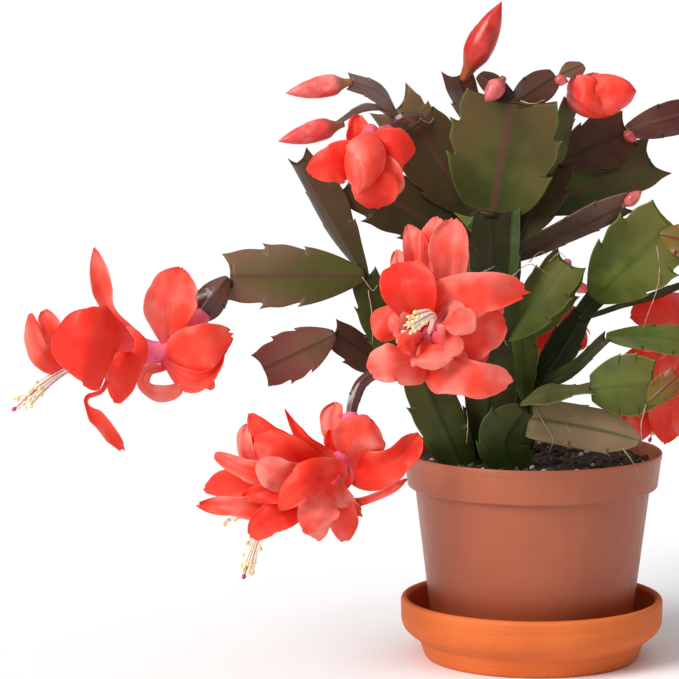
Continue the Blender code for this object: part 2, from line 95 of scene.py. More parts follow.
class Shader:
    """A material's nodes, with a short call for each kind that is used here."""

    def __init__(self, name):
        self.material = bpy.data.materials.new(name)
        self.material.use_nodes = True
        self.tree = self.material.node_tree
        self.surface = self.tree.nodes["Principled BSDF"]
        self.output = self.tree.nodes["Material Output"]

    def put(self, socket, value):
        if isinstance(value, bpy.types.NodeSocket):
            self.tree.links.new(value, socket)
        elif hasattr(value, "__len__") and len(value) == 3 and socket.type == "RGBA":
            socket.default_value = (*value, 1)
        else:
            socket.default_value = value

    def add(self, kind, inputs, **settings):
        node = self.tree.nodes.new("ShaderNode" + kind)
        for key, value in settings.items():
            setattr(node, key, value)
        for key, value in inputs.items():
            self.put(node.inputs[key], value)
        return node

    def math(self, operation, first, second=0.0):
        return self.add("Math", {0: first, 1: second}, operation=operation).outputs[0]

    def swing(self, value, amount):
        """How far the value lies from its middle, 0.5, times the amount."""
        return self.math("MULTIPLY", self.math("SUBTRACT", value, 0.5), amount)

    def mix(self, share, first, second):
        inputs = {0: share, 6: first, 7: second}
        return self.add("Mix", inputs, data_type="RGBA").outputs[2]

    def step(self, value, low, high, top=1.0):
        """Goes smoothly from 0 where the value is low to top where it is high."""
        inputs = {"Value": value, "From Min": low, "From Max": high, "To Max": top}
        return self.add("MapRange", inputs, interpolation_type="SMOOTHSTEP").outputs[0]

    def place(self, stretch=(1, 1, 1)):
        where = self.add("TexCoord", {}).outputs["Object"]
        return self.add("Mapping", {"Vector": where, "Scale": stretch}).outputs[0]

    def noise(self, scale, detail=2.0, vector=None, rough=0.5):
        inputs = {"Scale": scale, "Detail": detail, "Roughness": rough}
        inputs["Vector"] = vector or self.place()
        return self.add("TexNoise", inputs).outputs[0]

    def growth(self):
        """Along, across and a number of its own, from the mesh."""
        found = self.add("Attribute", {}, attribute_name="growth").outputs["Vector"]
        return self.add("SeparateXYZ", {0: found}).outputs

    def bump(self, height, distance, strength=1.0, before=None):
        inputs = {"Height": height, "Distance": distance, "Strength": strength}
        if before:
            inputs["Normal"] = before
        return self.add("Bump", inputs).outputs[0]

    def finish(self, **inputs):
        for key, value in inputs.items():
            self.put(self.surface.inputs[key.replace("_", " ")], value)
        return self.material


def segment_look(name, base, fresh, aged, rib, ageing=0.5, ribbing=0.7, rough=0.4, gloss=0.13, margin=None):
    """Waxy skin: fresh colour at the foot, aged towards the tip and margin, with a coloured midrib and a
    paler rim along the edge that is mostly a painted highlight.
    """
    made = Shader(name)
    along, across, own = made.growth()
    reach = made.math("ABSOLUTE", across)
    broad = made.noise(55, 3)
    fine = made.noise(420, 4, rough=0.65)
    speck = made.noise(1900, 2)
    skin = made.mix(made.step(broad, 0.35, 0.68), base, fresh)
    worn = made.math("ADD", made.math("MULTIPLY", along, 0.62), made.math("MULTIPLY", reach, 0.3))
    worn = made.math("ADD", worn, made.swing(broad, 0.65))
    worn = made.math("ADD", worn, made.math("MULTIPLY", own, 0.25))
    skin = made.mix(made.step(worn, 0.25, 1.0, ageing), skin, aged)
    skin = made.mix(made.step(fine, 0.52, 0.78, 0.25), skin, aged)
    skin = made.mix(made.step(speck, 0.64, 0.8, 0.3), skin, (0.2, 0.17, 0.07))
    ribbed = made.math("ADD", reach, made.swing(fine, 0.05))
    skin = made.mix(made.step(ribbed, 0.15, 0.01, ribbing), skin, rib)
    # Painted highlight along the edge: by default the fresh colour made 1.7 times lighter. Of the looks that
    # give their own margin colour, EDGED's is a painted highlight too and SHOOT's is its own pink.
    edge = made.math("ADD", reach, made.swing(fine, 0.03))
    skin = made.mix(made.step(edge, 0.93, 1.0, 0.7), skin, margin or [1.7 * part for part in fresh])
    foot = made.math("ADD", along, made.swing(fine, 0.05))
    skin = made.mix(made.step(foot, 0.045, 0.0, 0.85), skin, (0.13, 0.075, 0.035))
    veins = made.noise(900, 3, made.place((1, 1, 0.5)))
    lumps = made.bump(broad, 0.0012, 0.35)
    pores = made.bump(veins, 0.0002, 0.35, lumps)
    roughness = made.math("ADD", made.math("MULTIPLY", made.step(fine, 0.3, 0.75), 0.16), rough - 0.06)
    made.surface.inputs["Specular IOR Level"].default_value = gloss
    return made.finish(Base_Color=skin, Roughness=roughness, Normal=pores)


def petal_look(name, deep, bright, pale, throat, glow=0.3):
    """Thin satin petals: each from deep red to pale pink by its own tone, pink at the throat. The deep red is
    partly painted shade and the pale pink partly a painted sheen highlight.
    """
    made = Shader(name)
    along, across, own = made.growth()
    reach = made.math("ABSOLUTE", across)
    outer = made.step(own, 0.95, 1.05)
    broad = made.noise(75, 2)
    stretched = {0: made.math("MULTIPLY", along, 1.2), 1: made.math("MULTIPLY", across, 6), 2: own}
    streak = made.add("CombineXYZ", stretched)
    veins = made.noise(3.2, 4, streak.outputs[0])
    tone = made.math("ADD", made.math("FRACT", own), made.math("MULTIPLY", outer, 0.12))
    tone = made.math("ADD", tone, made.swing(broad, 1.4))
    tone = made.math("ADD", tone, made.swing(veins, 0.3))
    tone = made.math("ADD", tone, made.math("MULTIPLY", made.math("POWER", reach, 4.0), 0.3))
    # Partly the petals' own colour and partly painted light: the deep red stands for shade and the pale pink
    # for the satin sheen's highlight.
    colour = made.mix(made.step(tone, 0.05, 0.55), deep, bright)
    colour = made.mix(made.step(tone, 0.45, 1.05), colour, pale)
    colour = made.mix(made.step(along, 0.34, 0.03, 0.85), colour, throat)
    folds = made.bump(veins, 0.0004, 0.35, made.bump(broad, 0.0012, 0.35))
    surface = made.finish(Base_Color=colour, Roughness=0.42, Normal=folds)
    made.surface.inputs["Specular IOR Level"].default_value = 0.35
    lit = made.add("BsdfTranslucent", {"Color": colour, "Normal": folds})
    both = made.add("MixShader", {0: glow, 1: made.surface.outputs[0], 2: lit.outputs[0]})
    made.put(made.output.inputs[0], both.outputs[0])
    return surface


def bud_look(name, foot, deep, bright, tip):
    """Bud skin: foot and tip in colours of their own, and painted shade along the seams between the wound
    petals.
    """
    made = Shader(name)
    along, across, _ = made.growth()
    broad = made.noise(160, 3)
    # Painted shade: the seam mask darkens the skin just under each overlapping petal's edge.
    seam = made.step(across, 0.16, 0.0)
    colour = made.mix(made.step(broad, 0.35, 0.7), deep, bright)
    colour = made.mix(made.step(along, 0.78, 1.0, 0.8), colour, tip)
    colour = made.mix(made.step(along, 0.34, 0.12, 0.95), colour, foot)
    colour = made.mix(made.math("MULTIPLY", seam, 0.5), colour, deep)
    grain = made.bump(made.noise(900, 3), 0.0003, 0.3)
    return made.finish(Base_Color=colour, Roughness=0.32, Normal=grain)


def plain_look(name, first, second, scale, rough, height=0.0002):
    """One soft mottled colour, for the small parts."""
    made = Shader(name)
    mottle = made.noise(scale, 4, rough=0.6)
    colour = made.mix(made.step(mottle, 0.32, 0.68), first, second)
    return made.finish(Base_Color=colour, Roughness=rough, Normal=made.bump(mottle, height, 0.5))


def pot_look():
    made = Shader("pot_plastic")
    cloud = made.noise(22, 3)
    dust = made.noise(260, 5, rough=0.7)
    streaks = made.noise(120, 3, made.place((1, 1, 0.08)))
    height = made.add("SeparateXYZ", {0: made.place()}).outputs[2]
    colour = made.mix(made.step(cloud, 0.3, 0.7), (0.35, 0.088, 0.038), (0.39, 0.105, 0.046))
    colour = made.mix(made.step(streaks, 0.5, 0.8, 0.18), colour, (0.45, 0.15, 0.075))
    colour = made.mix(made.step(dust, 0.58, 0.8, 0.2), colour, (0.42, 0.16, 0.09))
    # Painted shade: the pot's colour darkens from mid-height down towards its foot.
    colour = made.mix(made.step(height, 0.052, 0.018, 0.6), colour, (0.27, 0.045, 0.015))
    roughness = made.math("ADD", made.step(dust, 0.35, 0.75, 0.14), 0.34)
    grain = made.bump(dust, 0.00008, 0.5, made.bump(cloud, 0.0008, 0.25))
    made.surface.inputs["Specular IOR Level"].default_value = 0.35
    return made.finish(Base_Color=colour, Roughness=roughness, Normal=grain)


def saucer_look():
    made = Shader("saucer_clay")
    cloud = made.noise(26, 4)
    grit = made.noise(1500, 4, rough=0.7)
    rings = made.noise(300, 3, made.place((0.04, 0.04, 2.2)))
    colour = made.mix(made.step(cloud, 0.3, 0.7), (0.58, 0.115, 0.02), (0.68, 0.15, 0.03))
    colour = made.mix(made.step(rings, 0.42, 0.72, 0.3), colour, (0.78, 0.21, 0.055))
    colour = made.mix(made.step(grit, 0.6, 0.75, 0.3), colour, (0.46, 0.085, 0.018))
    roughness = made.math("ADD", made.step(grit, 0.3, 0.8, 0.2), 0.55)
    turned_marks = made.bump(rings, 0.0004, 0.45)
    grain = made.bump(grit, 0.00015, 0.6, turned_marks)
    made.surface.inputs["Specular IOR Level"].default_value = 0.25
    return made.finish(Base_Color=colour, Roughness=roughness, Normal=grain)


def soil_look():
    made = Shader("potting_soil")
    clods = made.noise(130, 4, rough=0.7)
    crumbs = made.noise(900, 4, rough=0.75)
    colour = made.mix(made.step(clods, 0.35, 0.7), (0.012, 0.008, 0.006), (0.05, 0.028, 0.018))
    colour = made.mix(made.step(crumbs, 0.58, 0.8, 0.6), colour, (0.16, 0.095, 0.06))
    rough = made.bump(crumbs, 0.0009, 0.8, made.bump(clods, 0.002, 0.8))
    return made.finish(Base_Color=colour, Roughness=0.95, Normal=rough)


# Meshes


def add_object(name, data):
    made = bpy.data.objects.new(name, data)
    bpy.context.scene.collection.objects.link(made)
    return made


class Piece:
    """One piece's skins, each a loft of rings, with the growth values that its shader reads."""

    def __init__(self, name, slot):
        self.name = name
        self.slot = slot
        self.points = []
        self.faces = []
        self.growth = []
        self.looks = []
        self.face_looks = []

    def look_index(self, look):
        if look not in self.looks:
            self.looks.append(look)
        return self.looks.index(look)

    def loft(self, rings, growths, look, sealed=False):
        """One closed skin over rings of equal count, capped at both ends, or at the first if sealed."""
        start = len(self.points)
        count = len(rings[0])
        for ring, values in zip(rings, growths):
            self.points.extend(ring)
            self.growth.extend(values)
        made = []
        for row in range(len(rings) - 1):
            low = start + row * count
            for i in range(count):
                j = (i + 1) % count
                made.append((low + i, low + j, low + count + j, low + count + i))
        ends = ((0, -1),) if sealed else ((0, -1), (len(rings) - 1, 1))
        for row, order in ends:
            ring = rings[row]
            values = growths[row]
            self.points.append(sum(ring, Vector()) / count)
            self.growth.append([sum(value[k] for value in values) / count for k in range(3)])
            middle = len(self.points) - 1
            low = start + row * count
            for i in range(count):
                pair = (low + i, low + (i + 1) % count)
                made.append((middle, *pair[::order]))
        self.faces.extend(made)
        self.face_looks.extend([self.look_index(look)] * len(made))

    def tube(self, points, radii, look, sides=8, along=(0.0, 1.0), own=0.0):
        """A round tube through the points, with a radius at each."""
        rings = []
        growths = []
        side = (points[1] - points[0]).orthogonal()
        for i, point in enumerate(points):
            ahead = points[min(i + 1, len(points) - 1)] - points[max(i - 1, 0)]
            side = (side - ahead * side.dot(ahead) / ahead.length_squared).normalized()
            other = ahead.normalized().cross(side)
            angles = [math.tau * k / sides for k in range(sides)]
            rings.append([point + (side * math.cos(a) + other * math.sin(a)) * radii[i] for a in angles])
            share = along[0] + (along[1] - along[0]) * i / (len(points) - 1)
            growths.append([(share, 0.5, own)] * sides)
        self.loft(rings, growths, look)

    def make(self, *nodes):
        mesh = bpy.data.meshes.new(self.name)
        mesh.from_pydata([tuple(point) for point in self.points], [], self.faces)
        values = mesh.attributes.new("growth", "FLOAT_VECTOR", "POINT")
        values.data.foreach_set("vector", [number for value in self.growth for number in value])
        for look in self.looks:
            mesh.materials.append(look)
        mesh.polygons.foreach_set("material_index", self.face_looks)
        shape = bmesh.new()
        shape.from_mesh(mesh)
        bmesh.ops.remove_doubles(shape, verts=shape.verts, dist=1e-7)
        shape.to_mesh(mesh)
        shape.free()
        mesh.shade_smooth()
        made = add_object(self.name, mesh)
        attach(made, "root")
        if nodes:
            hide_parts(*nodes)
        return made


def millimetres(point):
    return Vector(point) * MM


def along_curve(points, share):
    """A point of the smooth curve through the given points, at a share of the way from first to last."""
    spans = len(points) - 1
    place = min(max(share, 0.0), 1.0) * spans
    index = min(int(place), spans - 1)
    t = place - index
    start, end = points[index], points[index + 1]
    before = points[index - 1] if index else start * 2 - end
    after = points[index + 2] if index + 2 <= spans else end * 2 - start
    straight = share - min(max(share, 0.0), 1.0)
    smooth = (
        start * 2
        + (end - before) * t
        + (before * 2 - start * 5 + end * 4 - after) * t * t
        + (start * 3 - before - end * 3 + after) * t**3
    ) / 2
    return smooth + (points[-1] - points[-2]) * straight * spans


def frame_at(points, share, across):
    """The curve's point there, the direction across it and the direction out of its flat side."""
    step = 0.02
    tangent = (along_curve(points, share + step) - along_curve(points, share - step)).normalized()
    side = (across - tangent * across.dot(tangent)).normalized()
    return along_curve(points, share), side, side.cross(tangent)


def smooth_step(low, high, value):
    share = min(max((value - low) / (high - low), 0.0), 1.0)
    return share * share * (3 - 2 * share)


# Stem segments


def half_width(share, neck, swell, tip):
    if share < WIDEST_AT:
        return neck + (1 - neck) * math.sin(math.pi / 2 * share / WIDEST_AT) ** swell
    return 1 - (1 - tip) * ((share - WIDEST_AT) / (1 - WIDEST_AT)) ** 2


def toothed_edge(form, teeth, bite, horn, shift, chance):
    """One edge: scallops that each end in a tooth hooked forward.

    Each point is (share along, share across, share along of the row inside it, how fast the row's
    own shape fades inwards).
    """
    first = FIRST_TOOTH + shift + chance.uniform(-0.03, 0.03)
    spacing = (1 - first) / teeth
    edge = []
    for i in range(FOOT_ROWS):
        share = (first + 0.005) * i / (FOOT_ROWS - 1)
        edge.append((share, half_width(share, *form), share, 5))
    for tooth in range(teeth):
        share = first + spacing * tooth
        reach = half_width(share, *form)
        size = chance.uniform(0.75, 1.3)
        edge.append((share + 0.03, reach * (1.01 + 0.015 * size), share + 0.012, 5))
        edge.append((share + 0.045 + 0.025 * size, reach * (1.02 + 0.045 * size), share + 0.02, 5))
        edge.append((share + 0.032, reach * (1 - bite * 0.5), share + 0.03, 5))
        for i in range(1, SCALLOP_ROWS):
            part = i / (SCALLOP_ROWS - 1)
            here = share + 0.032 + (spacing - 0.032) * part * 0.97
            hollow = bite * (1 - smooth_step(0, 0.75, part)) * 0.8
            edge.append((here, half_width(here, *form) * (1 - hollow), here, 5))
    neck, _, end = form
    tip = horn * chance.uniform(0.9, 1.5)
    edge.append((1 + tip * 0.5, end * 0.98, 0.985, 3))
    edge.append((1 + tip, end * 0.96, 0.99, 2))
    edge.append((1 + tip * 0.25, end * 0.84, 0.993, 1))
    edge.append((0.997, end * 0.66, 0.996, 1))
    edge.append((0.988, end * 0.45, 0.998, 1))
    edge.append((0.995, end * 0.28, 0.999, 1))
    edge.append((1.0, JOINT_WIDTH + neck * 0.25, 1.0, 1))
    return edge


def segment(
    name,
    path,
    width,
    facing,
    look,
    slot,
    sag=0.0,
    cup=0.0,
    teeth=2,
    bite=0.16,
    horn=0.05,
    lobes=1,
    neck=LEAF_NECK,
    swell=0.85,
    tip=TIP_WIDTH,
    thickness=LEAF_THICKNESS,
    wave=0.6,
    piece=None,
):
    """One flat stem segment, or a row of grown-together ones (lobes), along a path of points in mm."""
    chance = random.Random(name)
    points = [millimetres(point) for point in path]
    across_path = (points[-1] - points[0]).cross(Vector(facing))
    if sag:
        middle, _, normal = frame_at([points[0], points[-1]], 0.5, across_path)
        points = [points[0], middle + normal * sag * MM, points[-1]]
    points[0] = points[0] - (points[1] - points[0]).normalized() * JOINT_DEPTH
    own = chance.random()
    form = (neck, swell, tip)
    turns = chance.uniform(0, math.tau)
    columns = [*LEAF_COLUMNS, *[-column for column in LEAF_COLUMNS[-2::-1]]]
    rings = []
    growths = []
    for lobe in range(lobes):
        left = toothed_edge(form, teeth, bite, horn, 0.0, chance)
        right = toothed_edge(form, teeth, bite, horn, TOOTH_STAGGER, chance)
        for left_point, right_point in zip(left, right):
            middle_along = (left_point[2] + right_point[2]) / 2
            body = 0.55 + 0.45 * math.sin(math.pi * min(middle_along, 0.9)) ** 0.6
            front = []
            back = []
            values = []
            for column in columns:
                reach = abs(column)
                edge_along, edge_across, inner, grip = left_point if column > 0 else right_point
                share = middle_along + (inner - middle_along) * reach + (edge_along - inner) * reach**grip
                calm = half_width(min(inner, 1), *form) if grip > 1 else edge_across
                across = calm * reach + (edge_across - calm) * reach**grip
                across = math.copysign(across, column)
                place, side, lift = frame_at(points, (lobe + share) / lobes, across_path)
                ripple = math.sin(turns + share * 7.5 + (2.1 if column > 0 else 0)) * reach**2.2 * wave
                height = lift * (cup * across**2 + ripple) * MM
                rib = 0.16 * thickness * math.exp(-((reach / 0.09) ** 2)) * (1 - 0.5 * middle_along)
                half = thickness / 2 * body * (1 - 0.78 * reach**1.7) + rib
                if reach == 1:
                    half = 0
                spot = place + side * across * width * MM / 2 + height
                rough = noise.noise(spot * 95 + Vector((own * 50, 0, 0))) * 0.16 * MM
                front.append(spot + lift * (half + rough))
                back.append(spot - lift * (half - rough))
                values.append((middle_along, column, own))
            rings.append(front + back[-2:0:-1])
            growths.append(values + values[-2:0:-1])
    piece = piece or Piece(name, slot)
    piece.loft(rings, growths, look)
    return piece


# Flowers and buds


def petal_frame(spine, share, facing):
    """The spine's point there, the direction to the petal's right and the one its upper side faces."""
    step = 0.02
    tangent = (along_curve(spine, share + step) - along_curve(spine, share - step)).normalized()
    side = tangent.cross(facing).normalized()
    return along_curve(spine, share), side, side.cross(tangent)


def add_petal(
    piece,
    spine,
    left,
    right,
    look,
    chance,
    facing=(0, -1, 0),
    tone=0.4,
    cup=1.0,
    fold=0.0,
    ruffle=1.0,
    ragged=0.02,
):
    """A petal along its spine, with its reach to the left and right given from claw to tip, in mm."""
    own = chance.random()
    phase = chance.uniform(0, math.tau)
    spine = [millimetres(point) for point in spine]
    reaches = [Vector((l, r, 0)) * MM for l, r in zip(left, right)]
    facing = Vector(facing).normalized()
    columns = [*PETAL_COLUMNS, *[-column for column in PETAL_COLUMNS[-2::-1]]]
    rings = []
    growths = []
    for row in range(PETAL_ROWS + 1):
        share = 1.0 if row == PETAL_ROWS else 0.992 * (row / (PETAL_ROWS - 1)) ** 0.85
        opened = smooth_step(0.1, 0.75, share)
        thin = PETAL_THICKNESS / 2 * (1 - 0.55 * share)
        breadth = along_curve(reaches, min(share, 0.75))
        far = max(share - 0.75, 0) * 4
        ends = [
            end * math.sqrt(1 - far**3.6 * (1 - (last / end) ** 2)) if last > 0 else end * (1 - far)
            for end, last in ((breadth.x, reaches[-1].x), (breadth.y, reaches[-1].y))
        ]
        front = []
        back = []
        values = []
        for column in columns:
            reach = abs(column)
            torn = noise.noise(Vector((column * 3.1, own * 30, 5))) * ragged
            width = max(ends[1] if column > 0 else ends[0], 0.2 * MM)
            full = max(breadth.y if column > 0 else breadth.x, 0.2 * MM)
            place = share - PETAL_DOME * column**2 * smooth_step(0.5, 1, share) * min(width / full, 1)
            place += torn * smooth_step(0.7, 1, share)
            centre, side, normal = petal_frame(spine, place, facing)
            uneven = noise.noise(Vector((share * 4.5, math.copysign(0.7, column), own * 40)))
            width *= 1 + 0.09 * uneven * opened
            bend = cup * column**2 * math.sin(math.pi * min(share, 0.8))
            bend = bend + fold * reach * math.sin(math.pi * share * 0.8)
            waved = noise.noise(Vector((share * 3.2, column * 1.1, own * 60)))
            bend += ruffle * 2.2 * waved * reach**1.4 * opened
            bend += ruffle * 0.5 * math.sin(phase + share * 11) * reach**3 * opened
            crease = 0.3 * math.exp(-((reach / 0.12) ** 2))
            bend += 0.18 * math.cos(column * 7 + phase) * math.sin(math.pi * share) - crease
            spot = centre + side * column * width + normal * bend * MM
            half = 0 if reach == 1 or row == PETAL_ROWS else thin
            front.append(spot + normal * half)
            back.append(spot - normal * half)
            values.append((share, column, min(tone + (own - 0.5) * 0.12, 0.9)))
        rings.append(front + back[-2:0:-1])
        growths.append(values + [(s, c, t + 1) for s, c, t in values[-2:0:-1]])
    piece.loft(rings, growths, look, sealed=True)


def spread_petal(start, mouth, radius, rise, tip, width, roll=0, **shape):
    """The spine, reaches and facing of a petal that bends out of a tube, all in mm but the tube's ends."""
    axis = (mouth - start).normalized()
    end = millimetres(tip)
    on_axis = start.lerp(mouth, rise)
    radial = end - on_axis
    radial = (radial - axis * radial.dot(axis)).normalized()
    foot = on_axis + radial * radius * MM * 0.4
    bend = foot + (axis * 0.55 + radial * 0.45) * (end - foot).length * 0.5
    bend = bend.lerp((foot + end) / 2, PETAL_STRAIGHTNESS)
    turn = Matrix.Rotation(math.radians(roll), 3, end - foot)
    facing = (turn @ axis.cross(radial)).cross(end - foot)
    spine = [point / MM for point in (foot, bend, end)]
    reaches = [width * share for share in (0.14, 0.36, 0.5, 0.42, 0.12)]
    return spine, reaches, reaches, {"facing": facing, **shape}


def add_stamens(piece, path, chance, count=36):
    """A sheaf of filaments with their anthers along a path."""
    for _ in range(count):
        ahead = along_curve(path, 1) - along_curve(path, 0.9)
        side = ahead.orthogonal().normalized()
        other = ahead.normalized().cross(side)
        angle = chance.uniform(0, math.tau)
        away = (side * math.cos(angle) + other * math.sin(angle)) * math.sqrt(chance.random())
        reach = chance.uniform(0.7, 0.96)
        line = []
        for k in range(FILAMENT_STEPS + 1):
            part = k / FILAMENT_STEPS
            share = part * reach
            line.append(along_curve(path, share) + away * (0.8 + 2.6 * part**2.2) * MM)
        piece.tube(line, [0.26 * MM] * 6 + [0.19 * MM] * 5, FILAMENT, 5)
        end = line[-1]
        turn = ((line[-1] - line[-2]).normalized() + away * chance.uniform(-0.8, 1.2)).normalized()
        grain = [end - turn * 0.8 * MM, end - turn * 0.4 * MM, end + turn * 0.4 * MM, end + turn * 0.9 * MM]
        piece.tube(grain, [0.2 * MM, 0.6 * MM, 0.55 * MM, 0.15 * MM], ANTHER, 6)


def add_style(piece, path):
    """The style, longer than the stamens, with its stigma."""
    line = [along_curve(path, k / STYLE_STEPS) for k in range(STYLE_STEPS + 1)]
    piece.tube(line, [0.34 * MM] * len(line), STYLE, 6)
    end = line[-1]
    ahead = (line[-1] - line[-2]).normalized()
    stigma = [end - ahead * 1.2 * MM, end - ahead * 0.6 * MM, end + ahead * 0.5 * MM, end + ahead * 0.9 * MM]
    piece.tube(stigma, [0.4 * MM, 0.85 * MM, 0.7 * MM, 0.2 * MM], STIGMA, 8)


def with_claw(tube, spine, left, right, shape):
    """The petal's plan, drawn out by a narrow claw to the tube's nearest point if it starts away from it."""
    start = millimetres(spine[0])
    near = min(tube[2:], key=lambda point: (point - start).length)
    if (near - start).length < CLAW_REACH:
        return spine, left, right, shape
    return (near / MM, *spine), (CLAW_WIDTH, *left), (CLAW_WIDTH, *right), shape


def flower(name, base, throat, petals=(), spread=(), stamens=(), knee=None, radius=3.6):
    """A flower grown as one: a tube, its petals, and the sheaf of stamens with the style."""
    chance = random.Random(name)
    piece = Piece(name, "petals")
    start = millimetres(base)
    mouth = millimetres(throat)
    bend = millimetres(knee) if knee else (start + mouth) / 2
    start = start - (bend - start).normalized() * JOINT_DEPTH
    outline = (0.45, 0.66, 0.76, 0.66, 0.6, 0.62, 0.72, 0.86, 0.96, 0.8)
    line = [along_curve([start, bend, mouth], i / (len(outline) - 1)) for i in range(len(outline))]
    piece.tube(line, [scale * radius * MM for scale in outline], TUBE, 20)
    made = [with_claw(line, *plan) for plan in petals]
    made += [spread_petal(start, mouth, radius, *plan) for plan in spread]
    for spine, left, right, shape in made:
        add_petal(piece, spine, left, right, PETAL, chance, **shape)
    if stamens:
        sheaf = [mouth, *[millimetres(point) for point in stamens]]
        add_stamens(piece, sheaf, chance)
        add_style(piece, sheaf)
    return piece


def add_bud(piece, base, tip, width, look, shape=BUD_OUTLINE, layers=3, twist=1.6, own=0.5):
    """A closed bud: overlapping petals wound round an egg shape that ends in a point."""
    start = millimetres(base)
    end = millimetres(tip)
    axis = (end - start).normalized()
    start = start - axis * JOINT_DEPTH
    side = axis.orthogonal().normalized()
    other = axis.cross(side)
    outline = [Vector((reach, 0, 0)) for reach in shape]
    rings = []
    growths = []
    for row in range(BUD_ROWS):
        share = row / (BUD_ROWS - 1)
        radius = max(along_curve(outline, share).x, 0.02)
        ring = []
        values = []
        for i in range(BUD_SIDES):
            angle = math.tau * i / BUD_SIDES
            wound = (angle / math.tau * layers + share * twist) % 1
            overlap = 0.12 * (wound - 0.5) * smooth_step(0.22, 0.4, share) * (1 - 0.5 * share)
            reach = radius * (1 + overlap) * width * MM / 2
            ring.append(start.lerp(end, share) + (side * math.cos(angle) + other * math.sin(angle)) * reach)
            values.append((share, wound, own))
        rings.append(ring)
        growths.append(values)
    piece.loft(rings, growths, look)


# Pot, saucer and soil


def rounded(profile, radius, corners=3):
    """The profile, given in mm, with each inner corner replaced by a short arc."""
    points = [Vector((x * MM, 0, z * MM)) for x, z in profile]
    smooth = [points[0]]
    for before, point, after in zip(points, points[1:], points[2:]):
        back = before - point
        ahead = after - point
        cut = min(radius, back.length * 0.45, ahead.length * 0.45)
        first = point + back.normalized() * cut
        last = point + ahead.normalized() * cut
        for i in range(corners + 1):
            t = i / corners
            smooth.append(first * (1 - t) ** 2 + point * 2 * t * (1 - t) + last * t**2)
    smooth.append(points[-1])
    return smooth


def turned(name, profile, look, slot, radius, sides=144):
    """A turned solid from a profile in mm that runs from the axis over the top, down the outside and back."""
    piece = Piece(name, slot)
    line = rounded(profile, radius)
    rings = []
    for point in line[1:-1]:
        angles = [-math.tau * i / sides for i in range(sides)]
        rings.append([Vector((point.x * math.cos(a), point.x * math.sin(a), point.z)) for a in angles])
    growths = [[(0, 0, 0)] * sides for _ in rings]
    piece.loft(rings, growths, look)
    return piece.make(name)


def make_saucer():
    profile = (
        (0, 6.2), (42.0, 6.2), (47.5, 8.2), (49.4, 15),
        (49.9, 23.6), (50.9, 24.8), (52.2, 24.8), (53.1, 23.7),
        (52.9, 15), (51.7, 12), (48.6, 9.3), (45.6, 7.8),
        (45.2, 6), (43.4, 0.9), (42.4, 0), (0, 0),
    )
    turned("saucer", profile, saucer_look(), "saucer_clay", 1.6 * MM)


def make_pot():
    profile = (
        (0, 7.8), (38.3, 7.8), (46.2, 71.5), (49.0, 72.8),
        (51.0, 84.0), (51.5, 84.5), (51.8, 84.5), (52.3, 84.0),
        (52.1, 81.8), (51.8, 81.4), (50.5, 70.7), (49.9, 70.2),
        (47.5, 70.2), (39.8, 8), (38.6, 6.5), (0, 6.5),
    )
    pot = turned("pot", profile, pot_look(), "pot_plastic", 0.5 * MM)
    for i in range(HOLE_COUNT):
        angle = math.tau * i / HOLE_COUNT
        bpy.ops.mesh.primitive_cylinder_add(
            vertices=32, radius=HOLE_RADIUS, depth=HOLE_DEPTH,
            location=(HOLE_RING * math.cos(angle), HOLE_RING * math.sin(angle), POT_FOOT),
        )
        drill = bpy.context.object
        step = pot.modifiers.new("Hole", "BOOLEAN")
        step.object = drill
        step.operation = "DIFFERENCE"
        step.solver = "EXACT"
        bpy.context.view_layer.objects.active = pot
        bpy.ops.object.modifier_apply(modifier=step.name)
        bpy.data.objects.remove(drill)
    pot.data.shade_smooth()
    pot.data.set_sharp_from_angle(angle=math.radians(40))


def soil_height(x, y):
    reach = math.hypot(x, y) / SOIL_RIM
    lumps = noise.noise(Vector((x, y, 0)) * 120) * 1.3 + noise.noise(Vector((x, y, 7)) * 330) * 0.8
    return (81.6 - 2.4 * reach**3 + lumps * smooth_step(1.02, 0.9, reach)) * MM


def make_soil():
    piece = Piece("soil", "potting_soil")
    rings = []
    for row in range(SOIL_ROWS):
        reach = SOIL_REACH * (row + 0.4) / (SOIL_ROWS - 0.6)
        ring = []
        for i in range(SOIL_SIDES):
            x = reach * math.cos(-math.tau * i / SOIL_SIDES)
            y = reach * math.sin(-math.tau * i / SOIL_SIDES)
            ring.append(Vector((x, y, soil_height(x, y))))
        rings.append(ring)
    for reach, height in ((48.2, 73.4), (45.6, 71.3), (37.9, 8.2), (0.5, 8.2)):
        angles = [-math.tau * i / SOIL_SIDES for i in range(SOIL_SIDES)]
        rings.append([Vector((reach * math.cos(a), reach * math.sin(a), height)) * MM for a in angles])
    look = soil_look()
    piece.loft(rings, [[(0, 0, 0)] * SOIL_SIDES for _ in rings], look)
    chance = random.Random("crumbs")
    perlite = plain_look("perlite", (0.3, 0.24, 0.17), (0.55, 0.48, 0.4), 900, 0.9)
    bark = plain_look("bark", (0.035, 0.02, 0.012), (0.13, 0.07, 0.04), 700, 0.85, 0.0005)
    for number in range(CRUMB_COUNT):
        angle = chance.uniform(0, math.tau)
        reach = CRUMB_REACH * math.sqrt(chance.random())
        size = chance.uniform(0.5, 1.5) * MM
        what = perlite if number % 14 == 0 else bark if number % 3 else look
        x = reach * math.cos(angle)
        y = reach * math.sin(angle)
        heap = Vector((x, y, soil_height(x, y) + size * 0.25))
        lean = Vector((chance.uniform(-1, 1), chance.uniform(-1, 1), chance.uniform(-0.4, 0.4))).normalized()
        shares = (-1, -0.6, 0.1, 0.7, 1)
        line = [heap + lean * size * share for share in shares]
        radii = [size * scale * chance.uniform(0.7, 1.2) for scale in (0.25, 0.7, 0.85, 0.6, 0.2)]
        piece.tube(line, radii, what, 6)
    piece.make("soil")


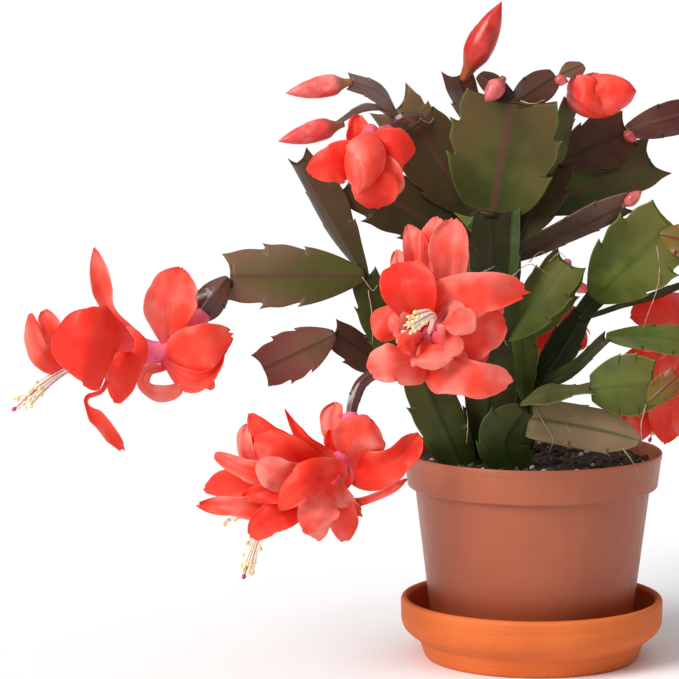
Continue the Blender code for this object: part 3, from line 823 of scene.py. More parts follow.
def make_root(number, path, thick=0.26):
    """A dry air root: a thin crooked thread through the given points."""
    chance = random.Random(number)
    points = [millimetres(point) for point in path]
    count = 6 * len(points)
    line = []
    for i in range(count):
        spot = along_curve(points, i / (count - 1))
        jitter = Vector([chance.uniform(-0.12, 0.12) for _ in range(3)]) * MM
        line.append(spot + jitter)
    piece = Piece(f"air_root_{number}", "old_stem")
    radii = [thick * MM * (1 - 0.6 * i / (count - 1)) for i in range(count)]
    piece.tube(line, radii, ROOT, 6)
    return piece.make()


# The looks

OLIVE = segment_look("olive", (0.036, 0.05, 0.011), (0.07, 0.09, 0.019),
                     (0.11, 0.065, 0.023), (0.12, 0.045, 0.032), ageing=0.85)
# Mostly painted shade: a darker, browner copy of the olive look, for leaves that sit in shade.
OLIVE_IN_SHADE = segment_look("olive_in_painted_shade", (0.024, 0.024, 0.007), (0.045, 0.04, 0.011),
                     (0.075, 0.034, 0.016), (0.1, 0.03, 0.024), ageing=0.7)
DUSKY = segment_look("dusky", (0.085, 0.085, 0.02), (0.07, 0.06, 0.018),
                     (0.21, 0.105, 0.07), (0.11, 0.045, 0.035), ageing=1.0)
GREEN = segment_look("green", (0.055, 0.085, 0.014), (0.14, 0.18, 0.032),
                     (0.11, 0.07, 0.022), (0.05, 0.055, 0.014), ageing=0.45, ribbing=0.35)
STEM = segment_look("stem", (0.018, 0.03, 0.006), (0.042, 0.066, 0.013),
                    (0.06, 0.045, 0.014), (0.02, 0.022, 0.008), ageing=0.5, ribbing=0.4)
# Painted shade: the stem look made darker, for the stems that sit in the plant's shade.
STEM_IN_SHADE = segment_look("dark", (0.012, 0.021, 0.005), (0.028, 0.046, 0.01),
                    (0.035, 0.022, 0.01), (0.016, 0.014, 0.007), ageing=0.5, ribbing=0.5)
BROWN = segment_look("brown", (0.03, 0.018, 0.009), (0.055, 0.03, 0.014),
                     (0.09, 0.03, 0.018), (0.04, 0.012, 0.01), ageing=0.8)
MAUVE = segment_look("mauve", (0.13, 0.075, 0.04), (0.2, 0.11, 0.06),
                     (0.2, 0.05, 0.045), (0.1, 0.03, 0.028), ageing=0.9)
MAROON = segment_look("maroon", (0.09, 0.02, 0.014), (0.14, 0.05, 0.03), (0.07, 0.012, 0.012),
                      (0.05, 0.01, 0.01), ageing=0.8, ribbing=0.4, rough=0.22, gloss=0.5)
DROOP = segment_look("droop", (0.2, 0.16, 0.075), (0.3, 0.23, 0.12),
                     (0.34, 0.17, 0.115), (0.08, 0.09, 0.026), ageing=0.7, ribbing=0.8)
# Painted highlight: a paler green for the stem's wing, where it catches the light.
WING_HIGHLIGHT = segment_look("wing", (0.035, 0.06, 0.014), (0.09, 0.13, 0.05),
                    (0.06, 0.06, 0.02), (0.02, 0.03, 0.008), ageing=0.3, ribbing=0.5)
YELLOWED = segment_look("yellowed", (0.09, 0.1, 0.03), (0.17, 0.18, 0.06),
                        (0.13, 0.09, 0.03), (0.1, 0.11, 0.03), ageing=0.4, ribbing=0.3)
YELLOW = segment_look("yellow", (0.1, 0.085, 0.008), (0.16, 0.125, 0.012), (0.19, 0.022, 0.012),
                      (0.16, 0.012, 0.014), ageing=0.85, ribbing=0.95, rough=0.3, gloss=0.25)
KHAKI = segment_look("khaki", (0.085, 0.07, 0.026), (0.13, 0.1, 0.042),
                     (0.16, 0.085, 0.04), (0.2, 0.14, 0.07), ageing=0.7)
SHOOT = segment_look("shoot", (0.17, 0.15, 0.11), (0.26, 0.23, 0.17),
                     (0.25, 0.12, 0.12), (0.22, 0.07, 0.09), ageing=0.7, margin=(0.24, 0.07, 0.1))
# Its pale pink margin is a painted highlight along the leaf's lit lower edge.
EDGED = segment_look("edged", (0.035, 0.022, 0.01), (0.06, 0.035, 0.018),
                     (0.2, 0.1, 0.07), (0.05, 0.02, 0.015), ageing=0.6, margin=(0.42, 0.25, 0.19))
ROSE = bud_look("rose_bud", (0.3, 0.1, 0.06), (0.5, 0.05, 0.06), (0.75, 0.17, 0.16), (0.42, 0.03, 0.05))
PETAL = petal_look("petals", (0.93, 0.03, 0.013), (1.0, 0.085, 0.045), (1.0, 0.29, 0.23), (0.97, 0.2, 0.28))
TUBE = plain_look("flower_tube", (0.9, 0.09, 0.2), (1.0, 0.22, 0.34), 200, 0.4)
BUD = bud_look("bud_skin", (0.3, 0.055, 0.014), (0.42, 0.014, 0.009), (0.62, 0.035, 0.022),
               (0.5, 0.011, 0.009))
RIPE = bud_look("ripe_bud", (0.85, 0.09, 0.07), (0.9, 0.03, 0.015), (1.0, 0.09, 0.05), (0.85, 0.025, 0.014))
PINK = bud_look("pink_bud", (0.3, 0.12, 0.05), (0.75, 0.06, 0.06), (0.95, 0.22, 0.18), (0.75, 0.06, 0.07))
FILAMENT = plain_look("filament", (0.95, 0.78, 0.68), (0.98, 0.88, 0.8), 400, 0.45)
ANTHER = plain_look("anther", (0.85, 0.66, 0.22), (0.95, 0.85, 0.5), 900, 0.8, 0.0004)
STYLE = plain_look("style", (0.7, 0.1, 0.22), (0.85, 0.2, 0.3), 300, 0.4)
STIGMA = plain_look("stigma", (0.45, 0.02, 0.08), (0.62, 0.05, 0.14), 600, 0.5)
ROOT = plain_look("air_root", (0.32, 0.22, 0.12), (0.55, 0.43, 0.27), 500, 0.8)

GROWN = "green_segment"
OLD = {"neck": STEM_NECK, "thickness": STEM_THICKNESS, "bite": 0.1, "horn": 0.02, "wave": 0.2}


def leaf(name, path, width, facing, look, slot=GROWN, **shape):
    segment(name, path, width, facing, look, slot, **shape).make(name)


def leaf_with_bud(name, path, width, facing, look, slot, bud_base, bud_tip, bud_width, **shape):
    piece = segment(name, path, width, facing, look, slot, **shape)
    add_bud(piece, bud_base, bud_tip, bud_width, ROSE)
    piece.make(name)


def bud(name, base, tip, width, look, shape=BUD_OUTLINE):
    piece = Piece(name, "bud_skin")
    add_bud(piece, base, tip, width, look, shape)
    piece.make(name)


def make_stems():
    stem = segment("stem_centre",
                   ((-20, -6, 77), (-18, -7, 103), (-17, -8, 129), (-16, -10, 155), (-17, -12, 181)), 21,
                   (-0.2, -1, 0), STEM_IN_SHADE, "old_stem", lobes=2, **{**OLD, "swell": 0.5})
    segment("stem_wing", ((-11, -12, 152), (-9, -13.5, 183)), 8, (-0.5, -0.85, 0), WING_HIGHLIGHT, "old_stem", teeth=1,
            neck=0.6, swell=0.4, thickness=1.6 * MM, piece=stem)
    stem.make("stem_centre")
    leaf("stem_diagonal", ((-7, 5, 77), (-3, 6, 94), (3, 8, 110), (11, 10, 123), (19, 12, 136)),
         13.5, (0, -1, 0), STEM_IN_SHADE, lobes=2, slot="old_stem", **{**OLD, "tip": 0.64, "horn": 0.12})
    leaf("stem_front", ((-6, -23, 77), (-13, -27, 92), (-5, -29, 106)), 22, (0, -1, 0), STEM, "old_stem",
         **{**OLD, "tip": 0.35, "horn": 0.0})
    leaf("stem_left", ((-28, -16, 77), (-46, -20, 118)), 20, (0.1, -1, 0), STEM, slot="old_stem", **OLD)
    leaf("stem_back", ((-10, 18, 77), (-4, 26, 126)), 15, (0, -1, 0.1), STEM_IN_SHADE, slot="old_stem", **OLD)


def make_right_branches():
    leaf("stem_right", ((19, 12, 137), (31, 18, 149), (44, 24, 156), (57, 30, 160), (70, 36, 162)),
         9.5, (0.1, -0.9, 0.5), STEM_IN_SHADE, "old_stem", lobes=2, neck=0.7, bite=0.06, thickness=2.6 * MM)
    leaf("stem_right_thin", ((19.7, 13.8, 136), (45, 30, 142), (68, 42, 148)),
         9, (0, 0.6, 0.9), STEM_IN_SHADE, "old_stem")
    leaf("leaf_right", ((25.3, 13.7, 145.1), (54, -5, 177)), 33, (0.1, -1, 0.2), GREEN, sag=2, cup=2)
    leaf("leaf_right_young", ((50.6, -5.4, 172), (69, -10, 168)),
         15, (0, -1, 0.2), YELLOW, "young_segment", cup=1, **YOUNG)
    leaf("leaf_folded", ((-10.6, -8.6, 131.2), (13, -4, 161)), 21, (-0.2, -0.8, 0.5), GREEN, cup=-2)
    leaf("leaf_inner", ((-3.3, 4.9, 104.2), (-4, 2, 136)), 12.5, (-0.3, -0.9, 0), GREEN)
    leaf("stem_low_right", ((4, 5.9, 109.8), (16, -6, 119), (28, -10, 131)),
         7, (0.2, -0.6, 0.6), STEM, "old_stem", neck=0.6, bite=0.06)
    leaf("leaf_low_right", ((29.3, -10, 132), (66, -14, 129)), 14, (0, -0.8, 0.6), GREEN, sag=2)
    leaf("leaf_wrinkled", ((-5.6, -29.2, 107.6), (21, -34, 114)), 14, (0, -0.35, 1), YELLOWED, sag=2,
         neck=0.5, wave=1.4)
    leaf("leaf_low_facing", ((21.4, -34.9, 114.6), (45, -38, 117)), 25, (0, -1, 0.1), GREEN, cup=-2,
         bite=0.05, neck=0.4)
    leaf("leaf_low_young", ((43, -40, 110), (54, -40, 120)), 11, (0, -1, 0.2), YELLOW, "young_segment")
    leaf("leaf_drooping", ((-2.5, -29, 101.5), (9.5, -31, 100), (26, -32, 97), (41, -31, 93)),
         17.5, (0, -1, 0.25), DROOP, "brown_segment", neck=0.82, swell=0.45, tip=0.14, bite=0.02, horn=-0.02)


def make_crown():
    leaf("leaf_top", ((-17, -12.1, 182.4), (-10.5, -20, 226.6)), 43.5, (-0.12, -1, 0.1), OLIVE, cup=2,
         neck=0.34, swell=0.5, tip=0.86)
    leaf("leaf_behind_top", ((-7.2, -12.2, 170.8), (9, 2, 200)), 20, (-0.3, -0.9, 0.3), OLIVE_IN_SHADE)
    leaf_with_bud("leaf_dark_brown", ((10.5, 2.4, 200.8), (38, 20, 212)), 23, (0, -1, 0.1), BROWN,
                  "brown_segment", (37.5, 19, 211.5), (42, 15, 208), 4.5, cup=2)
    leaf("leaf_mauve_right", ((39, 19.6, 212.2), (69, 24, 220)),
         15, (0, -1, 0.3), MAROON, "young_segment", cup=1, neck=0.3, **YOUNG)
    leaf("leaf_long", ((1.7, -4.3, 182.3), (48, 24, 200)), 25, (0.1, -1, 0.3), OLIVE, sag=2, cup=2, horn=0.1)
    leaf_with_bud("leaf_pink_edge", ((-8, -9.2, 164.8), (36, 1, 184)), 15, (0.2, -0.8, -0.55), EDGED,
                  "brown_segment", (35.5, 0.8, 183.5), (43, -1, 189.5), 5.6, neck=0.5, bite=0.04)
    leaf("leaf_edge_on", ((7, 0, 197), (14, -4, 226)), 13, (0.75, -0.65, 0.1), OLIVE, neck=0.5)
    leaf_with_bud("crest_brown", ((-9, -19.9, 226), (7, -18, 236)), 13.5, (0, -1, 0.4), BROWN,
                  "brown_segment", (6.5, -18, 234.8), (12, -19, 234), 4.6, neck=0.35, **YOUNG)
    leaf("crest_green", ((-10, -19.4, 227), (-23, -14, 236.5)), 9, (0, -1, 0.6), BROWN, neck=0.4, **YOUNG)
    leaf("crest_grey", ((9.4, -16.8, 236.6), (18, -12, 240)), 8, (0, -1, 0.6), MAUVE, "brown_segment",
         **YOUNG)
    leaf("segment_flower_centre", ((-19.6, -9.8, 137.2), (-26, -26, 143), (-32, -40, 144)),
         11, (0, -0.3, 1), GREEN)
    leaf("segment_top_dark", ((-23, -14.6, 217.4), (-28, -8, 227), (-31, -6, 235.5)), 12.5, (0, -1, 0),
         BROWN, "brown_segment", neck=0.7, tip=0.95, horn=0.16, teeth=1)


def make_left_branches():
    leaf("leaf_left_green", ((-45.7, -19.1, 118.4), (-60, -16, 134), (-68, -18, 157)),
         15, (0.2, -1, 0), STEM)
    leaf("leaf_left_dark", ((-47.3, -18.1, 118.1), (-64, -12, 123), (-80, -17, 134)),
         15, (0, -1, 0.2), BROWN, "brown_segment")
    leaf("leaf_horizontal", ((-68.9, -19.5, 157.5), (-121, -28, 158)),
         25, (0, -1, 0.15), DUSKY, sag=2, cup=-2)
    leaf("leaf_diagonal", ((-67.8, -17.1, 157.8), (-94, -10, 202)), 20, (-0.8, -0.6, 0), OLIVE_IN_SHADE, cup=-3)
    leaf("leaf_mauve", ((-80.6, -19, 133.6), (-108, -26, 121)), 20, (0, -1, 0.1), MAUVE, "brown_segment",
         cup=1)
    leaf("stem_arching",
         ((-47.6, -22.3, 118), (-61, -25, 119.5), (-68.5, -28, 116.5), (-72, -30, 110), (-73.8, -31.9, 102)),
         5, (0, -1, 0.3), MAROON, "brown_segment", neck=0.75, thickness=3.4 * MM, bite=0.04, horn=0.0)
    leaf("segment_maroon", ((-122.3, -29.1, 156.9), (-134, -33.5, 142)),
         13, (0, -1, 0.2), MAROON, "young_segment", thickness=6 * MM, **YOUNG)
    leaf("leaf_upper_left", ((-26.1, -9.2, 170), (-74, -14, 195)), 24, (0, -1, 0.3), OLIVE_IN_SHADE, cup=-2)
    olive = segment("leaf_olive_left", ((-24, -10.6, 182), (-48, -4, 216)), 29, (0, -1, 0), OLIVE_IN_SHADE, GROWN,
                    cup=2)
    segment("young_lip", ((-59, -12, 215), (-52, -14, 219.5), (-45, -11, 219.5)), 5, (0, -1, 0.3), MAROON,
            GROWN, teeth=1, bite=0.03, horn=0.0, neck=0.3, tip=0.5, piece=olive)
    olive.make("leaf_olive_left")
    leaf("leaf_spiked", ((-41.6, -4.1, 204), (-48, 0, 214), (-55, 3, 222)), 22, (0, -1, 0.1), KHAKI,
         neck=0.5, tip=0.9, horn=0.2)
    leaf("segment_bud_upper", ((-54.6, -0.4, 218.2), (-59.5, -12, 226), (-66, -18, 231), (-73.5, -24, 234)),
         8, (0.1, -0.9, 0.4), SHOOT, "young_segment", bite=0.05, neck=0.35, swell=1.1, tip=0.92)
    leaf("segment_bud_lower", ((-57.2, 1, 219.8), (-63, -10, 223.5), (-70, -15, 222.5), (-79.5, -20, 217.5)),
         4.5, (0, -0.5, 0.9), SHOOT, "young_segment", bite=0.03, neck=0.5, tip=0.6)


def make_back_branches():
    leaf("leaf_back_right", ((-2, 27.2, 127), (16, 42, 156)), 22, (0.4, -0.8, 0.4), GREEN, cup=2)
    leaf("leaf_back_left", ((-5, 27.5, 127), (-30, 52, 163)), 25, (-0.6, -0.8, 0.4), OLIVE, cup=2)
    leaf("leaf_back_outer", ((-27.6, 53.2, 165), (-6, 66, 194)), 24, (0.3, -0.7, 0.8), GREEN, sag=3)
    leaf("leaf_back_low", ((-9.5, 27.4, 125.7), (-27, 34, 122), (-44, 46, 112)),
         22, (0, -0.4, 1), OLIVE, sag=5, cup=-2)
    leaf("leaf_back_top", ((-30.7, 53, 162.9), (-48, 84, 186)), 27, (-0.4, -0.6, 0.8), OLIVE, sag=3)


# Air roots: points on or just in front of the stems, in mm, most found by a script that cast rays.
ROOTS = (
    ((-9.5, -13.5, 156.5), (-2.5, -16, 161.5), (6, -6, 156)),
    ((6, -1.5, 161), (10, -4, 165), (13.5, -4, 161.5)),
    ((49, -3, 168), (50, -2.5, 154), (43, -12, 135.5)),
    ((-0.5, -29, 106), (3, -32.5, 99.5), (6, -34, 94), (4.5, -35, 89.5)),
    ((33, -33.5, 91), (36.5, -36, 86.5), (40.5, -33, 79.5)),
    ((42, -38, 108.5), (40, -40, 100.5), (40.5, -40, 94)),
    ((-69, -21, 157), (-65, -19, 151.5), (-63, -18.5, 153.5)),
    ((-66.5, -18.5, 151.5), (-65, -19, 140.5), (-65, -19, 130)),
    ((-24, -9.5, 154), (-21, -12.5, 158), (-16.5, -14.5, 160.5)),
    ((-17.5, -11, 134.5), (-14, -11.5, 133), (-11, -11, 128.5)),
    ((-27, -6, 101.5), (-27, -18.5, 97.5), (-27.5, -19, 90)),
    ((-46, -13, 219), (-42.5, -6.5, 217), (-40.5, -7, 219)),
    ((-7, -21, 226.5), (-2.5, -22.5, 225.5), (2.5, -22, 227)),
    ((13, -31.5, 103), (11, -33.5, 100), (14, -34.5, 95.5)),
    ((-2.5, -8, 161.5), (2, -6.5, 165.5), (5.5, -8, 164)),
)

# Each petal's spine and its reach to the left and right of the way it grows, seen from the front, in mm.
# The numbers come from points picked by eye on the photograph, which a planning script turned into
# millimetres through this camera. Some were edited afterwards.


def plan(spine, left, right=None, **shape):
    """A petal's plan. Its right reach is like its left one unless it is given."""
    return spine, left, right or left, shape


# Each petal's tone runs from deep red at 0 to pale pink at 1. It is partly the petal's own colour and partly
# painted light and shade on that petal.
LEFT_PETALS = (
    plan(((-144, -39, 129.5), (-144.5, -43, 141.5), (-143.5, -45, 153), (-139.5, -42, 163)),
         (1.5, 6, 10, 8, 2), (1.5, 6, 10.5, 10, 2.5), tone=0.55, cup=2),
    plan(((-145.5, -42, 126.5), (-137.5, -50, 131), (-129.5, -53, 134.5), (-119.5, -47, 137)),
         (2.5, 7.5, 9, 7.5, 3), (3, 15.5, 17, 7.5, 2.5), tone=0.45, cup=-2, ragged=0.06),
    plan(((-145, -44, 125.5), (-136.5, -50, 119.5), (-129, -52, 121), (-124.5, -50, 126), (-123, -48, 133)),
         (1.5, 4.5, 3.5, 1, 1), (1.5, 4.5, 2.5, 1, 1), tone=0.3),
    plan(((-146, -40, 124), (-152.5, -45, 123), (-154, -50, 118.5), (-149.5, -53, 115.5),
          (-143, -52, 115.5), (-138.5, -49, 118)),
         (1.5, 2.5, 2.5, 3.5, 2.5), tone=0.9, cup=1),
    plan(((-153.5, -42, 130.5), (-162, -44, 138.5), (-167.5, -46, 147.5), (-170.5, -46, 158.5),
          (-173, -44, 171)),
         (3.5, 4, 3, 4, 0.5), (3.5, 4, 2.5, 4, 0.5), tone=0.6, fold=1),
    plan(((-184, -46, 133), (-188, -48, 137), (-190.5, -48, 142), (-192.5, -46, 147)),
         (4, 5, 4.5, 4, 1.5), (4, 4.5, 4, 3.5, 1), tone=0.6),
    plan(((-184.5, -52, 125.5), (-192, -60, 129), (-195.5, -61, 136), (-197, -56, 147)),
         (3, 4, 4, 3.5, 1.5), (3.5, 5, 5, 4, 1), tone=0.55, cup=-2),
    plan(((-161.5, -52, 136.5), (-158.5, -58, 130.5), (-160.5, -61, 121.5), (-164.5, -57, 111.5)),
         (4.5, 7, 5.5, 4.5, 2.5), (3, 5.5, 7.5, 7.5, 3), tone=0.25, cup=-2),
    plan(((-162.5, -67, 134), (-167.5, -75, 135), (-176, -79, 136), (-188, -72, 135)),
         (5.5, 15.5, 15.5, 13, 7), (5.5, 15.5, 16.5, 14.5, 8.5), tone=0.05, cup=-4, ruffle=0.4),
    plan(((-167, -34, 133.5), (-173, -30, 137), (-178.5, -30, 139.5), (-185, -34, 141.5)),
         (4, 7, 8, 6, 3), (4, 5.5, 5.5, 4.5, 2.5), tone=0.4),
    plan(((-168.5, -62, 118.5), (-174.5, -64, 115.5), (-174.5, -64, 111.5), (-168.5, -62, 104),
          (-161.5, -57, 93.5)),
         (1, 1, 1, 3.5, 2.5), (1, 1, 1, 3.5, 3), tone=0.5, ruffle=0.3),
)

LOW_PETALS = (
    plan(((-74, -34, 88), (-78.5, -34, 95), (-81, -32, 102), (-78.5, -30, 108.5)),
         (2, 4, 5, 4.5, 2), (2, 4, 4.5, 4.5, 2), tone=0.9, ruffle=1.7),
    plan(((-77, -42, 88), (-80.5, -43, 93), (-81.5, -41, 99)),
         (2, 3, 3, 3, 2), tone=0.0, ruffle=1.7),
    plan(((-73, -46, 87), (-71.5, -55, 94.5), (-69.5, -57, 101), (-67.5, -51, 106.5)),
         (2.5, 7.5, 10, 9.5, 4), (3.5, 9, 11, 9, 3), tone=0.6, cup=-2, ruffle=1.7),
    plan(((-73, -44, 85), (-62.5, -54, 87), (-54, -57, 92.5), (-47, -50, 99)),
         (5.5, 7, 6, 4.5, 2), (5.5, 9.5, 8.5, 5.5, 2), tone=0.3, fold=1.5, ruffle=1.7),
    plan(((-74, -46, 81.5), (-78.5, -54, 77.5), (-74.5, -58, 73), (-63, -58, 76), (-51.5, -52, 81.5)),
         (2, 3, 2.5, 1.5, 1.5), (2, 3, 2.5, 1.5, 2), tone=0.55, ruffle=0.3),
    plan(((-91.5, -48, 86.5), (-99, -51, 94), (-106, -51, 100), (-113, -48, 106.5)),
         (4.5, 8.5, 9.5, 7, 2), (3.5, 5.5, 4.5, 3, 1.5), tone=0.1, ruffle=1.7),
    plan(((-83.5, -50, 88.5), (-90, -54, 95.5), (-94.5, -54, 101.5), (-99, -50, 108.5)),
         (3.5, 5.5, 4, 2, 0), (4.5, 4, 2.5, 2, 0), tone=0.5, fold=2, ruffle=1.7),
    plan(((-107.5, -48, 83.5), (-113, -50, 90), (-115, -50, 96.5), (-114, -48, 102.5)),
         (2.5, 3.5, 3.5, 3, 2), tone=1.0, ruffle=1.7),
    plan(((-86.5, -54, 84.5), (-95, -62, 91.5), (-103, -64, 96), (-111, -60, 97.5)),
         (4.5, 8.5, 10, 9, 4), (3.5, 6.5, 7, 6, 3), tone=0.15, ruffle=1.7),
    plan(((-93.5, -52, 81), (-107, -57, 84.5), (-117, -57, 87.5), (-126.5, -52, 91.5)),
         (4.5, 5.5, 5, 3.5, 2), (4.5, 6.5, 4.5, 3, 2), tone=0.7, fold=1, ruffle=1.7),
    plan(((-95.5, -48, 76.5), (-109.5, -51, 78.5), (-120, -51, 79), (-131, -47, 76)),
         (4.5, 6.5, 6.5, 5.5, 2), (4.5, 6.5, 7, 6, 2), tone=0.35, ruffle=1.4),
    plan(((-87.5, -60, 81.5), (-96.5, -70, 85.5), (-103.5, -74, 88.5), (-110, -71, 91)),
         (3.5, 6.5, 8, 7, 3), (3.5, 5.5, 5.5, 5, 2), tone=0.85, cup=-1.5, ruffle=1.7),
    plan(((-92.5, -58, 75), (-100, -68, 71), (-106.5, -70, 67.5), (-112, -66, 60.5)),
         (3.5, 6.5, 6.5, 5.5, 3), (3.5, 6.5, 6.5, 5, 2.5), tone=0.3, ruffle=1.2),
    plan(((-96.5, -58, 75.5), (-109.5, -64, 73), (-121, -64, 73), (-132.5, -57, 72.5)),
         (3.5, 5.5, 5, 3.5, 0.5), (3.5, 5.5, 4.5, 3.5, 0.5), tone=0.4, fold=1.2, ruffle=1.7),
    plan(((-89.5, -60, 80.5), (-98.5, -68, 81), (-107.5, -70, 79.5), (-115.5, -66, 77)),
         (3.5, 5.5, 5.5, 4.5, 1), (3.5, 5, 4.5, 3, 1), tone=0.05, fold=1.5, ruffle=1.7),
    plan(((-82.5, -54, 78.5), (-78.5, -60, 72), (-76.5, -60, 65.5), (-76, -56, 57.5)),
         (3, 5.5, 6.5, 5.5, 2), tone=0.6, ruffle=1.7),
    plan(((-81.5, -58, 79), (-77, -63, 76), (-73, -61, 72.5), (-69.5, -56, 69)),
         (3.5, 4.5, 3.5, 2, 0.5), tone=0.75, ruffle=1.7),
    plan(((-85, -60, 76.5), (-86.5, -68, 71), (-87, -68, 66), (-87.5, -62, 59.5)),
         (3.5, 5.5, 6, 5, 2), tone=0.95, ruffle=1.7),
    plan(((-78, -62, 85.5), (-85.5, -78, 86.5), (-93, -84, 83), (-101, -79, 74)),
         (3.5, 6, 7, 5, 1), (3.5, 6.5, 8, 5.5, 1), tone=0.25, cup=-2, ruffle=1.2),
    plan(((-80.5, -60, 81.5), (-84.5, -74, 77.5), (-87.5, -78, 72), (-90.5, -72, 63.5)),
         (3.5, 7, 8.5, 7.5, 3), (3.5, 6, 8, 6.5, 3), tone=0.65, cup=-1.5, ruffle=1.5),
)

CENTRE_PETALS = (
    plan(((-43.5, -60, 144), (-41, -63, 160.5), (-41, -66, 175), (-41, -62, 184.5)),
         (1, 3.5, 6, 7, 2.5), (1, 3, 5, 5, 2.5), tone=0.8, cup=2),
    plan(((-42, -62, 144), (-36.5, -69, 160), (-35.5, -73, 174.5), (-35, -69, 184.5)),
         (1.5, 4, 7, 8.5, 3), (1.5, 4, 6, 6.5, 3), tone=0.65, cup=1.5),
    plan(((-49, -58, 144.5), (-54.5, -58, 158), (-55.5, -58, 166), (-56, -57, 171.5)),
         (1, 2.5, 3.2, 3, 1.6), (1, 3, 4, 3.5, 2), tone=0.9),
    plan(((-47, -60, 142.5), (-48.5, -63, 159.5), (-50, -65, 172), (-52, -62, 181.5)),
         (1, 3.5, 4.2, 3.4, 0.8), (1, 4.5, 7, 6, 0.8), tone=0.7, fold=1.4),
    plan(((-46.5, -66, 140.5), (-51.5, -78, 151.5), (-54.5, -81, 160), (-56.5, -74, 168)),
         (1.5, 4, 7, 8.5, 6), (2, 7, 12, 13, 8.5), tone=0.25, cup=2, ruffle=1.6),
    plan(((-48, -64, 138), (-54, -70, 142), (-60.5, -72, 145), (-65.5, -68, 148)),
         (1, 4, 6.5, 7, 3.5), (1, 4, 7, 7, 4), tone=0.45, cup=-1.5),
    plan(((-45.5, -66, 135.5), (-52, -79, 133), (-59, -85, 131), (-67, -80, 127.5)),
         (7, 12, 10, 6.5, 3), (1.5, 3, 5, 8, 6), tone=0.75, cup=-1, ruffle=1.8),
    plan(((-43.5, -66, 135.5), (-35.5, -79, 131), (-26, -85, 127), (-12.5, -80, 124.5)),
         (1.5, 3.5, 4.5, 5, 4.5), (2.5, 13.5, 12, 9, 5), tone=0.7, cup=-1, ruffle=1.8),
    plan(((-42.5, -64, 135), (-34, -70, 133.5), (-26.5, -72, 132.5), (-21, -70, 133.5)),
         (1.5, 5, 5.5, 5, 2.5), (1.5, 4, 5, 4, 2.5), tone=0.05),
    plan(((-42, -68, 139.5), (-33, -77, 140.5), (-25, -80, 143), (-15.5, -74, 147)),
         (2, 8, 10.5, 8.5, 4), (2, 6.5, 10.5, 8.5, 4), tone=0.5, ruffle=1.5),
    plan(((-42, -68, 144.5), (-34.5, -78, 155), (-22, -82, 159.5), (-6.5, -74, 157.5)),
         (2, 10, 8, 5.5, 4.5), (2, 8.5, 10.5, 8.5, 4), tone=0.55, ragged=0.05, ruffle=1.4),
    plan(((-43, -70, 139), (-39.5, -83, 139.5), (-36, -89, 138.5), (-31.5, -89, 137)),
         (1.5, 3.5, 4.5, 4.5, 3), (1.5, 4, 5, 4.5, 3), tone=0.8, cup=-1.5, ruffle=0.6),
    plan(((-46.5, -70, 139), (-49.5, -82, 140), (-52.5, -88, 139), (-55, -90, 137)),
         (1.5, 3.5, 4.5, 4.5, 3), (1.5, 3, 4.5, 4.5, 3), tone=0.85, cup=-1.5, ruffle=0.6),
    plan(((-38, -74, 149.5), (-35.5, -86, 149), (-34, -92, 146.5), (-35, -92, 142.5)),
         (2.5, 6, 7.5, 7, 2.5), (2.5, 6.5, 8, 7, 2.5), tone=0.8, cup=-3, ruffle=0.4),
    plan(((-45, -62, 138), (-49.5, -72, 135), (-53.5, -77, 132), (-56.5, -77, 130)),
         (1.5, 5, 5.5, 5, 2.5), (1.5, 4, 5, 5, 2.5), tone=0.9),
    plan(((-43.5, -62, 136.5), (-38.5, -74, 134.5), (-34, -79, 131.5), (-30, -79, 128.5)),
         (1.5, 5, 6, 5, 3), (1.5, 5, 5.5, 5, 3), tone=0.85),
    plan(((-46.5, -62, 141), (-52, -74, 144), (-56, -77, 146), (-59.5, -76, 147)),
         (1.5, 5, 6, 5, 3), (1.5, 4, 5, 4.5, 3), tone=0.85),
    plan(((-41.5, -58, 146), (-43, -60, 140.5), (-45, -60, 135), (-45.5, -58, 129.5)),
         (4, 7, 9, 8, 4), tone=0.6),
    plan(((-44.5, -72, 137), (-44, -84, 135.5), (-43, -88, 132.5), (-42.5, -86, 128.5)),
         (2.5, 6.5, 8.5, 7.5, 3), (2.5, 6.5, 8.5, 7.5, 3.5), tone=0.8, cup=-1.5, ruffle=1.2),
    plan(((-42, -66, 142), (-34, -74, 146.5), (-27, -77, 149), (-15.5, -74, 151)),
         (2, 7, 8, 8, 4), (2, 6, 8, 7, 4), tone=0.65, cup=-1, ruffle=1),
)

UPPER_PETALS = (
    plan(((-67.5, -30, 208), (-70, -32, 213), (-71, -32, 217.5), (-70, -30, 221.5)),
         (3.5, 5.5, 5, 3.5, 1.5), (3.5, 6, 6, 4, 1.5), tone=0.5, ruffle=1.5),
    plan(((-70, -42, 205), (-76, -48, 205), (-82.5, -50, 203.5), (-90.5, -47, 201)),
         (4, 8, 8.5, 6.5, 3.5), (4, 7.5, 7.5, 6, 3), tone=0.1, cup=-2),
    plan(((-64, -38, 205), (-60, -44, 208), (-54.5, -45, 209), (-48.5, -41, 209)),
         (3.5, 8, 9, 8, 4), (3.5, 7, 9, 7.5, 4), tone=0.15, cup=-1),
    plan(((-63, -42, 205), (-60, -46, 201), (-57.5, -46, 196.5), (-57, -42, 190.5)),
         (3.5, 5, 5.5, 4.5, 2.5), tone=0.7),
    plan(((-65, -46, 203), (-64.5, -52, 198), (-64, -53, 192.5), (-64, -49, 186.5)),
         (5, 8.5, 9.5, 8.5, 5.5), (5, 8.5, 9, 8.5, 5.5), tone=0.2, cup=-2),
)

